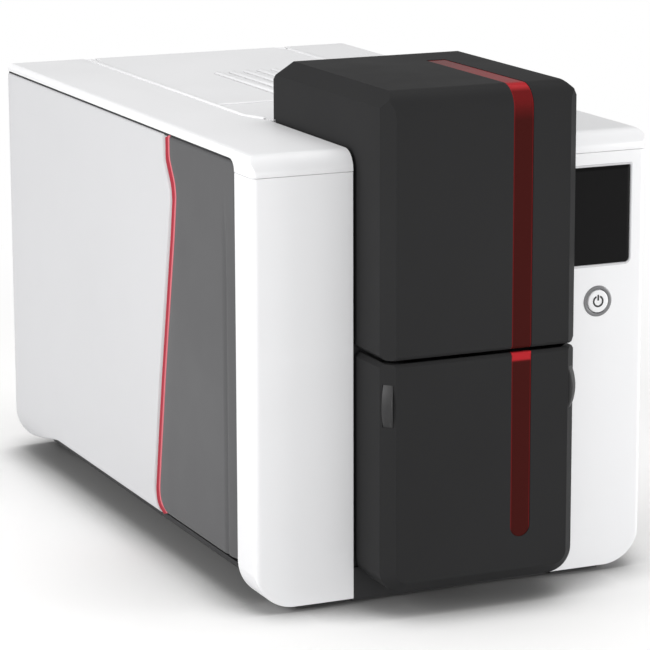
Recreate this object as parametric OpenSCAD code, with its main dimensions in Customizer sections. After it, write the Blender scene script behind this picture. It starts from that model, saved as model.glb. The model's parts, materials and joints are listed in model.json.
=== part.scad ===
// Desktop card printer: white body, two-tone side panels, dark card feeder
// above a dark output hopper on the front, hinged hood over the print head.
// Millimetres, Z up. The origin is on the desk below the middle of the printer.
// +X is to the right for someone facing the front, the front faces -Y.

/* [Body] */
// outside width
body_w = 205; // [199:1:211]
// length of the body behind its front face
body_l = 350; // [346:1:360]
// height of the flat top
body_h = 218; // [216:1:220]
// radius of the long lower edges of the front and rear ends
corner_r = 20; // [14:1:22]
// wall thickness of the outer mouldings
wall = 2.6; // [2.2:0.1:3]
// radius of the rounded front edge of the top
brow_r = 9; // [6:0.5:10]
// depth of the front mouldings along the sides
wrap_y = 21.5; // [18:0.5:24]
// height of the lower edge of the side panels
skirt_z = 19.5; // [16:0.5:22]

/* [Front modules] */
// width of the feeder and the hopper
mod_w = 100.7; // [96:0.1:102]
// how far both stand in front of the body
mod_out = 31; // [28:0.5:33]
// top of the card feeder
feeder_top = 248; // [244:0.5:252]
// rear face of the card feeder, behind the body front
feeder_rear = 97; // [95:0.5:97.5]
// height of the lower edge of the feeder cover
split_z = 124.1; // [123:0.1:126]
// gap between feeder cover and hopper cover
split_gap = 1.8; // [1.4:0.1:2.4]
// radius of the rounded front edge of the feeder
front_r = 11; // [8:0.5:14]
// width of the chamfers seen from the front
cham_x = 5.7; // [4:0.1:7]
// length of the chamfers seen from the side
cham_y = 5.8; // [4:0.1:8]
// left edge of the red window
win_x0 = 14.9; // [12:0.1:18]
// right edge of the red window
win_x1 = 25.2; // [22:0.1:28]

/* [Hood] */
// left edge of the hood
hood_x0 = -58.7; // [-60:0.1:-57]
// right edge of the hood
hood_x1 = 63.5; // [62.5:0.1:65]
// seam between hood and top cover
seam = 0.7; // [0.5:0.1:1]
// number of vent slots
vent_n = 5; // [3:1:6]
// distance between vent slots
vent_pitch = 8.25; // [7.5:0.25:9]
// width of a vent slot
vent_w = 3.4; // [2.4:0.2:4]

/* [Controls] */
// width of the screen
screen_w = 33.6; // [30:0.2:36]
// height of the screen
screen_h = 47.4; // [44:0.2:50]
// middle of the power button below the flat top
button_drop = 82.5; // [79:0.5:86]
// radius of the power button
button_r = 5.55; // [5:0.05:6]

/* [Card path] */
// card width
card_w = 54; // [53.5:0.1:54.5]
// card length
card_l = 85.6; // [85:0.1:86]
// card thickness
card_t = 0.76; // [0.5:0.01:1]
// cards shown in the feeder
card_n = 20; // [5:1:30]
// radius of the driven rollers
roll_r = 6; // [5.5:0.1:6]
// radius of the roller shafts
shaft_r = 3; // [2.5:0.1:3.2]
// radial clearance of running fits
fit = 0.05; // [0.03:0.01:0.08]

/* [View] */
// node to show

/* [Hidden] */
$fn = 48;
w2 = body_w / 2;
m2 = mod_w / 2;
bot_z = 2.8;                       // lower edge of the end mouldings
lip_z = body_h - 9.8;              // seam between front mouldings and top cover
lip_gap = 0.5;
seat = 0.02;                       // joint between pieces clamped face to face
eave_z = body_h - 4;               // lower edge of the top cover along the sides
eave_r = 5.8;                      // its rounded corner at the front mouldings
panel_gap = 0.4;                   // gap around the side panels
tail_l = 70;                       // length of the sloping lower end of the side panels
tail_z = 5.6;                      // height of its rear end
base_x = w2 - 22;                  // half width of the base
board_x = w2 - 22.5;               // inner face of the parts on the main board
board_end = body_l - 95;           // its rear edge
edge_r = 4;                        // long upper edges
corner_v = 3;                      // upright front edges of the body
slot_x = 52;                       // half width of the opening for the modules
plate_x = 62;                      // inner face of the steel side plates
plate_t = 1.5;
plate_h = body_h - 18;
path_z = 132;                      // underside of a card on its way
axis_z = path_z - roll_r;          // driven roller shafts
pinch_z = path_z + 1 + 5;          // pinch rollers, radius 5
low_top = split_z - split_gap;     // upper edge of the hopper cover
low_bot = 11.5;                    // underside of the hopper cover
low_r = 12;                        // radius of its lower corners seen from the front
roof_x = 6.2;                      // chamfers along the top of the feeder
roof_z = 7.2;
split_cut = 2;                     // corners of both covers at the gap between them
feed_y = 52;
front_y = 118;
platen_y = 156;
rear_y = 205;
exit_y = body_l - 50;
motor_y = 175;
motor_z = 90;
spool_z = (path_z + body_h) / 2 - 5;
hood_hinge = [body_l - 4.5, body_h - 4.5];
cover_hinge = [feeder_rear - 9, feeder_top - 26];
hopper_hinge = [-9, 18];
hopper_pin = m2 - 6.85;            // outer end of its pins
screen_x = w2 - 25.4;
screen_z = body_h - 40.7;
button_z = body_h - button_drop;
fan_x = -30;
fan_z = (path_z + body_h) / 2 - 3;
rear_skin = body_l - wall;
// kinked line between the dark and the light side panel, as [y, z] pairs
trim_line = [[106.5, body_h + 12], [106.5, body_h - 15.5], [99.4, 190.7], [98.3, 184], [101.4, 164],
             [108, 131], [116, 91], [122, 56], [126, 32], [125.2, 27], [121.5, 23],
             [114, 21.2]];
trim_w = 5.2;
white = [0.93, 0.93, 0.94];
light = [0.83, 0.83, 0.85];
slate = [0.36, 0.36, 0.38];
dark = [0.16, 0.16, 0.17];
red = [0.7, 0.1, 0.1];
steel = [0.72, 0.73, 0.75];
rubber = [0.09, 0.09, 0.1];

// ---- shared shapes -------------------------------------------------------

// body coordinates start at the front face of the body
module placed() translate([0, (mod_out - body_l) / 2, 0]) children();

module along_x(x0, x1)
    translate([x0, 0, 0]) rotate([90, 0, 90]) linear_extrude(x1 - x0) children();

module along_y(y0, y1)
    translate([0, y1, 0]) rotate([90, 0, 0]) linear_extrude(y1 - y0) children();

module along_z(z0, z1)
    translate([0, 0, z0]) linear_extrude(z1 - z0) children();

module box(a, b) translate(a) cube([b[0] - a[0], b[1] - a[1], b[2] - a[2]]);

module rod_x(x0, x1, at, r)
    translate([x0, at[0], at[1]]) rotate([0, 90, 0]) cylinder(h = x1 - x0, r = r);

module rod_y(y0, y1, at, r)
    translate([at[0], y1, at[1]]) rotate([90, 0, 0]) cylinder(h = y1 - y0, r = r);

module both_sides() {
    children();
    mirror([1, 0, 0]) children();
}

// rectangle with one radius per corner: lower left, lower right, upper right, upper left
module round_rect(a, b, r) {
    polygon([[a[0] + r[0], a[1]], [b[0] - r[1], a[1]], [b[0], a[1] + r[1]],
             [b[0], b[1] - r[2]], [b[0] - r[2], b[1]], [a[0] + r[3], b[1]],
             [a[0], b[1] - r[3]], [a[0], a[1] + r[0]]]);
    if (r[0] > 0) translate([a[0] + r[0], a[1] + r[0]]) circle(r = r[0]);
    if (r[1] > 0) translate([b[0] - r[1], a[1] + r[1]]) circle(r = r[1]);
    if (r[2] > 0) translate([b[0] - r[2], b[1] - r[2]]) circle(r = r[2]);
    if (r[3] > 0) translate([a[0] + r[3], b[1] - r[3]]) circle(r = r[3]);
}

// cross section of the body seen from the front
module body_section(i = 0)
    round_rect([-w2 + i, bot_z + i], [w2 - i, body_h - i],
               [corner_r - i, corner_r - i, edge_r - i, edge_r - i]);

// outer volume of the body with its rounded front edges, shrunk by i
module body_volume(i = 0) intersection() {
    along_y(i, body_l - i) body_section(i);
    along_z(0, body_h)
        round_rect([-w2 + i, i], [w2 - i, body_l - i],
                   [corner_v - i, corner_v - i, corner_v - i, corner_v - i]);
    along_x(-w2, w2)
        round_rect([i, 0], [body_l - i, body_h - i], [0, 0, edge_r - i, brow_r - i]);
}

// card feeder volume: rounded front edge, chamfers on all other upper edges
module feeder_volume(i = 0) {
    y0 = -mod_out + i;
    y1 = feeder_rear - i;
    x1 = m2 - i;
    z0 = split_z - i;
    z1 = feeder_top - i;
    r = front_r - i;
    intersection() {
        along_x(-m2, m2) union() {
            polygon([[y0, z0 + 1.4], [y0 + 1.2, z0], [y1, z0], [y1, z1 - 9.6],
                     [y1 - 10.6, z1], [y0 + r, z1], [y0, z1 - r]]);
            translate([y0 + r, z1 - r]) circle(r = r);
        }
        along_z(100, feeder_top)
            polygon([[-x1, y1], [-x1, y0 + cham_y], [-x1 + cham_x, y0],
                     [x1 - cham_x, y0], [x1, y0 + cham_y], [x1, y1]]);
        along_y(-mod_out, feeder_rear)
            polygon([[-x1 + split_cut, z0], [-x1, z0 + split_cut], [-x1, z1 - roof_z],
                     [-x1 + roof_x, z1], [x1 - roof_x, z1], [x1, z1 - roof_z],
                     [x1, z0 + split_cut], [x1 - split_cut, z0]]);
    }
}

// hopper volume: chamfers at the front on both sides and below, rounded lower corners
module hopper_volume(i = 0) {
    y0 = -mod_out + i;
    x1 = m2 - i;
    z0 = low_bot + i;
    z1 = low_top + i;
    r = low_r - i;
    intersection() {
        along_x(-m2, m2)
            polygon([[y0 + cham_y, z0], [2.5, z0], [2.5, z1], [y0 + 1.2, z1],
                     [y0, z1 - 1.4], [y0, z0 + cham_x]]);
        along_z(0, z1)
            polygon([[-x1, 2.5], [-x1, y0 + cham_y], [-x1 + cham_x, y0],
                     [x1 - cham_x, y0], [x1, y0 + cham_y], [x1, 2.5]]);
        along_y(-mod_out, 2.5)
            polygon([[-x1, z0 + r], [-x1 + r, z0 + r], [-x1 + r, z0], [x1 - r, z0],
                     [x1 - r, z0 + r], [x1, z0 + r], [x1, z1 - split_cut], [x1 - split_cut, z1],
                     [-x1 + split_cut, z1], [-x1, z1 - split_cut]]);
    }
    both_sides() intersection() {
        translate([x1 - r, y0, z0 + r]) rotate([-90, 0, 0]) rotate_extrude()
            polygon([[0, 0], [r - cham_x, 0], [r, cham_y], [r, 2.5 - y0], [0, 2.5 - y0]]);
        box([x1 - r, y0 - 1, z0 - 1], [x1 + 1, 3, z0 + r]);
    }
}

// stadium standing upright, for the window with its round lower end
module window_band(y0, y1, z0, z1, play = 0)
    along_y(y0, y1) {
        translate([(win_x0 + win_x1) / 2, z0 + (win_x1 - win_x0) / 2])
            circle(r = (win_x1 - win_x0) / 2 + play);
        translate([win_x0 - play, z0 + (win_x1 - win_x0) / 2])
            square([win_x1 - win_x0 + 2 * play, z1 - z0 - (win_x1 - win_x0) / 2]);
    }

// ---- body ----------------------------------------------------------------

foot_x = w2 - 36.5;
foot_at = [[-foot_x, 24], [foot_x, 24], [-foot_x, body_l - 24], [foot_x, body_l - 24]];
screw_x = w2 - 31.5;
screw_y = [40, 170, body_l - 50];
screw_z = [70, body_h - 38];

module base_tray() color(dark) placed() difference() {
    union() {
        box([-base_x, 3, 1], [base_x, body_l - 3, 4]);
        both_sides() box([base_x - 2.5, 3, 1], [base_x, body_l - 3, 19]);
        box([-base_x, 3, 1], [base_x, 5, 17]);
        box([-base_x, body_l - 5.5, 1], [base_x, body_l - 3, 19]);
        // wings that close the side spaces behind the lower panel edges
        both_sides() box([base_x - 0.1, wrap_y + 0.5, 14.6],
                         [w2 - 2 * wall, body_l - 12.5, 17]);
        for (y = [60, 130, body_l - 110]) box([-60, y, 4], [60, y + 2, 9]);
        both_sides() for (y = screw_y) translate([screw_x, y, 1]) cylinder(h = 9, r = 4.6);
    }
    for (p = foot_at) translate([p[0], p[1], 0]) cylinder(h = 2.2, r = 9.1);
    for (k = [0:9]) box([-45, 150 + 7 * k, 0], [45, 153 + 7 * k, 5]);
    both_sides() for (y = screw_y) translate([screw_x, y, 0]) {
        cylinder(h = 12, r = 1.6);
        cylinder(h = 3.2, r = 3.4);
    }
    both_sides() box([slot_x - 0.2, 2, 0], [slot_x + wall + 0.2, 5.2, 20]);
}

// screws from below into the base and from behind into the rear cover
module case_screws() color(steel) placed() {
    both_sides() for (y = screw_y) translate([screw_x, y, 0]) difference() {
        union() {
            translate([0, 0, 1.4]) cylinder(h = 1.8, r = 3.1);
            translate([0, 0, 3.1]) cylinder(h = 6.5, r = 1.6);
        }
        cylinder(h = 2.4, r = 1.5, $fn = 6);
    }
    both_sides() for (z = screw_z) difference() {
        union() {
            rod_y(body_l - 2, body_l - 0.3, [plate_x + 0.8, z], 3.1);
            rod_y(body_l - 10, body_l - 1.9, [plate_x + 0.8, z], 1.6);
        }
        translate([plate_x + 0.8, body_l, z]) rotate([90, 0, 0]) cylinder(h = 1.3, r = 1.5, $fn = 6);
    }
}

module rubber_feet() color(rubber) placed()
    for (p = foot_at) translate([p[0], p[1], 0]) {
        cylinder(h = 2.2, r = 9);
        translate([0, 0, 2.2 - 0.6]) cylinder(h = 0.6, r = 9.1);
    }

plate_l = body_l - 15;             // rear end of the side plates

// steel side plate outline as seen from the side
module plate_outline() difference() {
    polygon([[8, 4], [plate_l, 4], [plate_l, plate_h], [230, plate_h],
             [222, plate_h - 12], [101, plate_h - 12], [93, plate_h], [8, plate_h]]);
    for (y = [feed_y, front_y, platen_y, rear_y, exit_y])
        translate([y, axis_z]) circle(r = shaft_r + fit);
    translate([86, path_z + 9.2]) circle(r = 2.5 + fit);
    translate([front_y, pinch_z]) circle(r = 2.5 + fit);
    translate([rear_y, pinch_z]) circle(r = 2.5 + fit);
    translate([104, 128]) circle(r = 2 + fit);
    translate([motor_y, motor_z]) circle(r = 11);
    for (p = [[40, 40], [body_l - 100, 40], [body_l - 100, path_z + 28]])
        translate(p) square([44, 24]);
    for (p = [[110, 30], [180, 30]]) translate(p) square([50, 22]);
}

module side_plates() color(steel) placed() {
    both_sides() along_x(plate_x, plate_x + plate_t) plate_outline();
    both_sides() for (y = [56, 140, body_l - 80])
        box([plate_x, y, 4], [plate_x + 12, y + 16, 5.5]);
    // cross rods, clamped between the plates
    for (p = [[plate_l - 5, 24], [plate_l - 5, 120], [plate_l - 5, plate_h - 6], [240, 60],
              [96, 60]])
        rod_x(-plate_x + seat, plate_x - seat, p, 3);
}

module front_frame() color(dark) placed() difference() {
    union() {
        along_y(5, 8) round_rect([-w2 + 3.1, 5.9], [w2 - 3.1, lip_z - 2.2],
                                 [corner_r - 3.1, corner_r - 3.1, 0, 0]);
        box([-46, 5, 4], [46, 8, 17.2]);
    }
    box([-31, 0, 17.2], [31, 10, body_h]);
    box([screen_x - 12, 0, screen_z - 27.3], [screen_x + 12, 10, screen_z + 12.7]);
    box([-w2 + 10.5, 0, 60], [-w2 + 32.5, 10, 90]);
    // notches over the side rims of the base
    both_sides() box([base_x - 2.7, 0, 0], [base_x + 0.2, 10, 19.2]);
}

// one half of the white front: flat front, wrapped outer side, open to the module
module fascia_half() difference() {
    intersection() {
        body_volume();
        box([slot_x, 0, 0], [w2, wrap_y, lip_z - lip_gap]);
    }
    difference() {
        intersection() {
            body_volume(wall);
            box([0, wall, 0], [w2, wrap_y + 1, body_h]);
        }
        box([slot_x, 0, 0], [slot_x + wall, 5, body_h]);
        for (z = [40, 110, lip_z - 8.2]) box([slot_x, 0, z], [w2, 5, z + 2]);
    }
    box([slot_x - 1, wall, 0], [w2 - corner_r, wrap_y + 1, bot_z + wall]);
}

module fascia_left() color(white) placed() mirror([1, 0, 0]) fascia_half();

module fascia_right() color(white) placed() difference() {
    fascia_half();
    along_y(-1, 6) round_rect([screen_x - screen_w / 2 - 1.2, screen_z - screen_h / 2 - 1.2],
                              [screen_x + screen_w / 2 + 1.2, screen_z + screen_h / 2 + 1.2],
                              [3.5, 3.5, 1.5, 1.5]);
    rod_y(-1, 6, [screen_x, button_z], 7.6);
}

module screen_bezel() color(light) placed() along_y(-0.3, 5) difference() {
    round_rect([screen_x - screen_w / 2 - 1.2, screen_z - screen_h / 2 - 1.2],
               [screen_x + screen_w / 2 + 1.2, screen_z + screen_h / 2 + 1.2],
               [3.5, 3.5, 1.5, 1.5]);
    round_rect([screen_x - screen_w / 2, screen_z - screen_h / 2],
               [screen_x + screen_w / 2, screen_z + screen_h / 2], [2.5, 2.5, 0.8, 0.8]);
}

module touchscreen() color([0.04, 0.04, 0.05]) placed() {
    along_y(0.1, 2.2)
        round_rect([screen_x - screen_w / 2, screen_z - screen_h / 2],
                   [screen_x + screen_w / 2, screen_z + screen_h / 2],
                   [2.5, 2.5, 0.8, 0.8]);
    box([screen_x - 14, 2.2, screen_z - 21], [screen_x + 14, 5, screen_z + 21]);
}

module button_ring() color([0.5, 0.5, 0.52]) placed() difference() {
    rod_y(-0.2, 2.6, [screen_x, button_z], 7.6);
    rod_y(-1, 3, [screen_x, button_z], button_r + 0.3);
}

module power_button() color(white) placed() {
    rod_y(-0.7, 3, [screen_x, button_z], button_r);
    rod_y(2.9, 3.9, [screen_x, button_z], button_r + 1.2);
}

module button_mark() color(slate) placed() {
    difference() {
        rod_y(-0.85, -0.7, [screen_x, button_z], 2.7);
        rod_y(-1, 0, [screen_x, button_z], 2.25);
        box([screen_x - 0.8, -1, button_z], [screen_x + 0.8, 0, button_z + 4]);
    }
    box([screen_x - 0.25, -0.85, button_z + 0.4], [screen_x + 0.25, -0.7, button_z + 3.2]);
}

// outline of the opening for the hood and the modules, seen from above
module hood_outline(g = 0) polygon([
    [hood_x0 + g, body_l + 1], [hood_x0 + g, 116.5], [-slot_x + 2 * g, 100.5 + g],
    [-slot_x + 3 * g, feeder_rear + 0.8 + g], [slot_x - 3 * g, feeder_rear + 0.8 + g],
    [slot_x + 5 - 2 * g, 100.5 + g], [hood_x1 - g, 116.5], [hood_x1 - g, body_l + 1]]);

module top_cover() color(white) placed() {
    flange = [body_h - 9, body_h - 4.4];
    difference() {
        body_volume();
        box([-w2 - 1, -1, -1], [w2 + 1, body_l + 1, lip_z]);
        along_x(-w2 - 1, w2 + 1)
            round_rect([wrap_y, 0], [body_l - 12.4, eave_z], [0, 0, 0, eave_r]);
        // the side panels run on to the rear below the eaves
        both_sides() box([w2 - wall - panel_gap, 50, 0], [w2 + 1, body_l + 1, eave_z]);
        difference() {
            body_volume(wall);
            box([-slot_x - 2, -1, 0], [-slot_x, 110, body_h]);
            box([slot_x, -1, 0], [slot_x + 2, 110, body_h]);
        }
        along_z(0, body_h + 1) hood_outline();
        box([-slot_x, -1, 0], [slot_x, feeder_rear + 2, body_h + 1]);
    }
    // flanges below the hood, joined behind it and in front of it
    box([hood_x0 - 4, 104, flange[0]], [hood_x0 + 3, body_l - 9, flange[1]]);
    box([hood_x0 - 4, 112, flange[1] - 0.6], [hood_x0, body_l - 3, body_h - 2]);
    box([hood_x1 - 3, 104, flange[0]], [hood_x1 + 4, body_l - 9, flange[1]]);
    box([hood_x1, 112, flange[1] - 0.6], [hood_x1 + 4, body_l - 3, body_h - 2]);
    for (y = [104, body_l - 19])
        box([hood_x0 - 4, y, flange[0] - 4], [hood_x1 + 4, y + 6, flange[0] + 0.2]);
    both_sides() box([plate_x, 232, plate_h], [plate_x + plate_t, body_l - 22, flange[0] + 0.5]);
    both_sides() box([plate_x, 60, plate_h], [plate_x + plate_t, 92, body_h - 2]);
    // hinge lugs
    for (x = [hood_x0 + 0.7, hood_x1 - 6.7]) difference() {
        union() {
            rod_x(x, x + 6, hood_hinge, 4.2);
            box([x, body_l - 19, flange[0] - 4], [x + 6, body_l - 6, flange[0] + 2]);
        }
        rod_x(x - 1, x + 7, hood_hinge, 1.6);
    }
}

// plates set into the rear cover, as [x0, z0, x1, z1]
socket_plate = [-88, 27, -20, 51];
outlet_plate = [-34, path_z - 6, 34, path_z + 9];

module plate_box(p, y0, y1, g = 0) box([p[0] + g, y0, p[1] + g], [p[2] - g, y1, p[3] - g]);

// outline of the rear cover between the ends of the side panels, shrunk by i
module rear_section(i = 0) {
    g = wall + 0.3 + i;
    round_rect([-w2 + g, bot_z + g], [w2 - g, body_h], [corner_r - g, corner_r - g, 0, 0]);
    translate([-base_x + i, bot_z + i]) square([2 * (base_x - i), 20]);
}

module rear_cover() color(light) placed() {
    difference() {
        union() {
            difference() {
                along_y(body_l - 12, body_l) rear_section();
                along_y(body_l - 13, rear_skin) rear_section(wall);
                box([-w2, 0, lip_z - 1], [w2, body_l + 1, body_h + 1]);
                box([-base_x - 2, 0, 0], [base_x + 2, rear_skin - 0.4, bot_z + 6]);
            }
            both_sides() for (z = screw_z)
                rod_y(body_l - 15, rear_skin + 0.1, [plate_x + 0.8, z], 4.6);
        }
        plate_box(socket_plate, body_l - 20, body_l + 1);
        plate_box(outlet_plate, body_l - 20, body_l + 1);
        for (k = [-4:4]) along_y(rear_skin - 1, body_l + 1)
            translate([fan_x + 4 * k - 1, fan_z - 14]) square([2, 28]);
        along_y(body_l - 10, body_l + 1) round_rect([66, 60], [73, 63.4], [1.5, 1.5, 1.5, 1.5]);
        for (x = [24, 31, 38, 45])
            box([x, body_l - 10, fan_z - 12], [x + 3, body_l + 1, fan_z + 18]);
        both_sides() for (z = screw_z) {
            rod_y(body_l - 20, body_l + 1, [plate_x + 0.8, z], 1.6);
            rod_y(body_l - 2, body_l + 1, [plate_x + 0.8, z], 3.4);
        }
    }
    // plate with the openings for the plugs
    difference() {
        plate_box(socket_plate, rear_skin, body_l - 0.3, seat);
        box([-82, body_l - 10, 34], [-66, body_l + 1, 44]);
        box([-58, body_l - 10, 32], [-45, body_l + 1, 45]);
        rod_y(body_l - 10, body_l + 1, [-30, 39], 5.6);
    }
    // frame of the slot for rejected cards
    difference() {
        plate_box(outlet_plate, rear_skin - 6, body_l - 0.3, seat);
        box([-28.5, body_l - 30, path_z - 2], [28.5, body_l + 1, path_z + 6]);
    }
}

// ---- side panels ---------------------------------------------------------

// region in front of the kinked line, pushed back by g
module line_front(g) polygon(concat([for (p = trim_line) [p[0] + g, p[1] - g * 0.35]],
    [[0, skirt_z + 1.7 - g * 0.35], [0, body_h + 12]]));

module panel_face() along_x(w2 - wall, w2)
    round_rect([wrap_y + panel_gap, skirt_z], [body_l - 12.4, eave_z - 2 * panel_gap],
               [0, 2, 1, eave_r - panel_gap]);

// runs round the lower rear corner and slopes down to it from below the skirt line
module light_panel() {
    difference() {
        intersection() {
            body_volume();
            along_x(w2 - corner_r, w2)
                polygon([[wrap_y + panel_gap, skirt_z], [body_l - tail_l, skirt_z],
                         [body_l, tail_z], [body_l, eave_z - 2 * panel_gap],
                         [wrap_y + panel_gap, eave_z - 2 * panel_gap]]);
        }
        along_y(-1, body_l + 1) body_section(wall);
        along_x(w2 - wall - 1, w2 + 1) line_front(trim_w);
        box([w2 - 5, 0, 0], [w2 + 1, 112, 30]);
    }
    for (y = [150, body_l - 28]) for (z = [30, body_h - 38])
        rod_x(plate_x + plate_t, w2 - wall + 0.1, [y, z], 4);
    box([w2 - wall - 3, 140, 27], [w2 - wall, 142, body_h - 13]);
    box([w2 - wall - 3, body_l - 90, 27], [w2 - wall, body_l - 88, body_h - 13]);
}

module dark_panel() {
    intersection() {
        panel_face();
        along_x(w2 - wall - 1, w2 + 1) line_front(0);
    }
    for (p = [[40, 30], [60, body_h - 38]]) rod_x(plate_x + plate_t, w2 - wall + 0.1, p, 4);
    box([w2 - wall - 3, 70, 30], [w2 - wall, 72, body_h - 13]);
}

module side_panel_left() color(light) placed() mirror([1, 0, 0]) light_panel();
module side_panel_right() color(light) placed() light_panel();
module side_front_left() color(slate) placed() mirror([1, 0, 0]) dark_panel();
module side_front_right() color(slate) placed() dark_panel();

module side_trims() color(red) placed() both_sides() intersection() {
    along_x(w2 - wall, w2)
        round_rect([wrap_y + panel_gap, skirt_z], [body_l - 12.4, eave_z - 2 * panel_gap],
                   [0, 0, 0, 0]);
    difference() {
        along_x(w2 - wall - 1, w2 + 1) line_front(trim_w);
        along_x(w2 - wall - 2, w2 + 2) line_front(0);
        box([w2 - 5, 0, 0], [w2 + 1, 112, 30]);
    }
}

// ---- hood with print head ------------------------------------------------

module hood() color(white) placed() difference() {
    union() {
        intersection() {
            along_z(body_h - 3.5, body_h) hood_outline(seam);
            box([-w2, 0, 0], [w2, body_l - 4.5, body_h]);
        }
        rod_x(hood_x0 + seam + 6.5, hood_x1 - seam - 6.5, hood_hinge, 4.5);
        box([hood_x0 + seam + 6.5, body_l - 12, body_h - 6],
            [hood_x1 - seam - 6.5, body_l - 4.5, body_h]);
        // skirt and ribs below the plate
        box([-50, feeder_rear + 1.8, body_h - 8.2], [50, feeder_rear + 4, body_h - 3]);
        for (x = [-52, 54]) box([x, 112, body_h - 8.2], [x + 2, body_l - 20, body_h - 3]);
        for (y = [130, body_l - 60]) box([-50, y, body_h - 7], [54, y + 2, body_h - 3]);
        both_sides() box([31, 146, body_h - 12], [37, 182, body_h - 3]);
    }
    for (k = [0:vent_n - 1])
        box([hood_mid + (k - (vent_n - 1) / 2) * vent_pitch - vent_w / 2, 168, body_h - 18],
            [hood_mid + (k - (vent_n - 1) / 2) * vent_pitch + vent_w / 2, 262, body_h + 2]);
    box([hood_x0, 154.4, body_h - 0.7], [hood_x1, 155.4, body_h + 1]);
    rod_x(hood_x0, hood_x1, hood_hinge, 1.5 + fit);
    for (x = [hood_x0 - 1, hood_x1 - seam - 6.4])
        box([x, body_l - 13, body_h - 18], [x + seam + 7.4, body_l + 1, body_h + 2]);
}

hood_mid = (hood_x0 + hood_x1) / 2 + 0.7;

module hinge_pins() color(steel) placed() {
    for (x = [hood_x0 + 0.9, hood_x1 - 18.9]) rod_x(x, x + 18, hood_hinge, 1.5);
    both_sides() {
        rod_x(32, m2 - wall - 0.1, cover_hinge, 2);
        rod_x(34, hopper_pin, hopper_hinge, 2);
    }
}

head_top = body_h - 13.5;          // top of the print head, below its bracket

module head_bracket() color(steel) placed() difference() {
    union() {
        both_sides() box([29.5, 150, path_z + 6], [31, 172, body_h - 3.5]);
        box([-31, 150, head_top], [31, 172, head_top + 1.5]);
        box([-31, 170.5, 150], [31, 172, head_top + 1.5]);
    }
    both_sides() for (z = [150, 165, 180]) rod_x(20, 40, [161, z], 3);
}

module print_head() color([0.62, 0.63, 0.65]) placed() {
    along_x(-29.5, 29.5)
        polygon([[153, path_z + 10], [153, head_top], [156, head_top], [156, path_z + 14],
                 [160, path_z + 14], [160, head_top], [163, head_top], [163, path_z + 14],
                 [167, path_z + 14], [167, head_top], [170.5, head_top],
                 [170.5, path_z + 10], [160, path_z + 1.6], [155, path_z + 1.6]]);
}

// ---- card feeder ---------------------------------------------------------

module feeder_body() color(dark) placed() difference() {
    union() {
        box([-31, -27, path_z - 3], [31, 66, path_z]);
        both_sides() box([28, -27, split_z + 1.5], [31, 66, feeder_top - 12]);
        both_sides() box([16, -27, path_z - 1], [31, -24.6, feeder_top - 22]);
        box([-31, 63.4, path_z + 1.4], [31, 66, feeder_top - 12]);
        both_sides() box([31, 58, cover_hinge[1] - 5], [36, cover_hinge[0], cover_hinge[1] + 5]);
        both_sides() rod_x(31, 36, cover_hinge, 5);
        both_sides() box([31, 58, cover_hinge[1] - 10], [33, 66, cover_hinge[1] + 5]);
    }
    box([-10, feed_y - 8, 120], [10, feed_y + 8, path_z + 1]);
    rod_x(-40, 40, [feed_y, axis_z], shaft_r + 0.6);
    both_sides() rod_x(32, 50, cover_hinge, 2);
    both_sides() box([20, 10, 140], [40, 52, 210]);
}

module feeder_cover() color(dark) placed() difference() {
    union() {
        difference() {
            feeder_volume();
            feeder_volume(wall);
            box([-60, -60, 0], [60, 110, split_z]);
            box([-60, 4, 0], [60, 110, body_h - 11.4]);
            box([-44, 60, 0], [44, 110, body_h + 0.6]);
            box([-60, feeder_rear - wall - 0.1, 0], [60, 110, body_h + 0.6]);
        }
        both_sides() rod_x(40, m2 - wall + 0.1, cover_hinge, 5);
        both_sides() box([m2 - wall - 1.2, -18, split_z + 3.9],
                         [m2 - wall + 0.1, -16, feeder_top - 10]);
        // stiffening ribs under the roof
        for (x = [-30, 2, 32]) box([x, -16, feeder_top - wall - 2.2],
                                   [x + 1.6, 80, feeder_top - wall + 0.1]);
    }
    both_sides() rod_x(36, m2 - wall, cover_hinge, 2 + fit);
    box([win_x0, -mod_out - 1, split_z - 1], [win_x1, 62, feeder_top + 1]);
}

module feeder_window() color([0.75, 0.08, 0.08]) placed() intersection() {
    difference() {
        feeder_volume(0.25);
        feeder_volume(wall);
    }
    box([win_x0, -mod_out - 1, split_z], [win_x1, 62, feeder_top + 1]);
}

module card_stack() color([0.95, 0.95, 0.93]) placed()
    for (k = [0:card_n - 1])
        translate([(k % 3 - 1) * 0.2, (k % 4) * 0.2, path_z + k * card_t])
            along_z(0, card_t)
                round_rect([-card_w / 2, -24], [card_w / 2, card_l - 24],
                           [3.2, 3.2, 3.2, 3.2]);

stack_top = path_z + card_n * card_t;

module card_pusher() color(slate) placed() {
    along_z(stack_top, stack_top + 6) round_rect([-25, -20], [25, 58], [3, 3, 3, 3]);
    along_z(stack_top + 5.9, stack_top + 9) difference() {
        round_rect([-16, 6], [16, 32], [4, 4, 4, 4]);
        round_rect([-13, 9], [13, 29], [3, 3, 3, 3]);
    }
}

// ---- output hopper -------------------------------------------------------

module hopper_tray() color(dark) placed() difference() {
    union() {
        box([-31, -26, 21], [31, 66, 24]);
        both_sides() box([28, -26, 21], [31, 66, 117]);
        box([-31, 63.4, 21], [31, 66, 114]);
        both_sides() box([17, -26, 23], [31, -23.6, 60]);
        both_sides() rod_x(31, 39, hopper_hinge, 3.6);
        both_sides() box([31, -13, 18], [39, -5, 30]);
        both_sides() box([27, -13, 18], [31.1, -5, 24]);
    }
    both_sides() rod_x(34, 50, hopper_hinge, 2);
    both_sides() box([20, 14, 36], [40, 50, 104]);
    box([-12, -30, 20], [12, 8, 25]);
}

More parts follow.
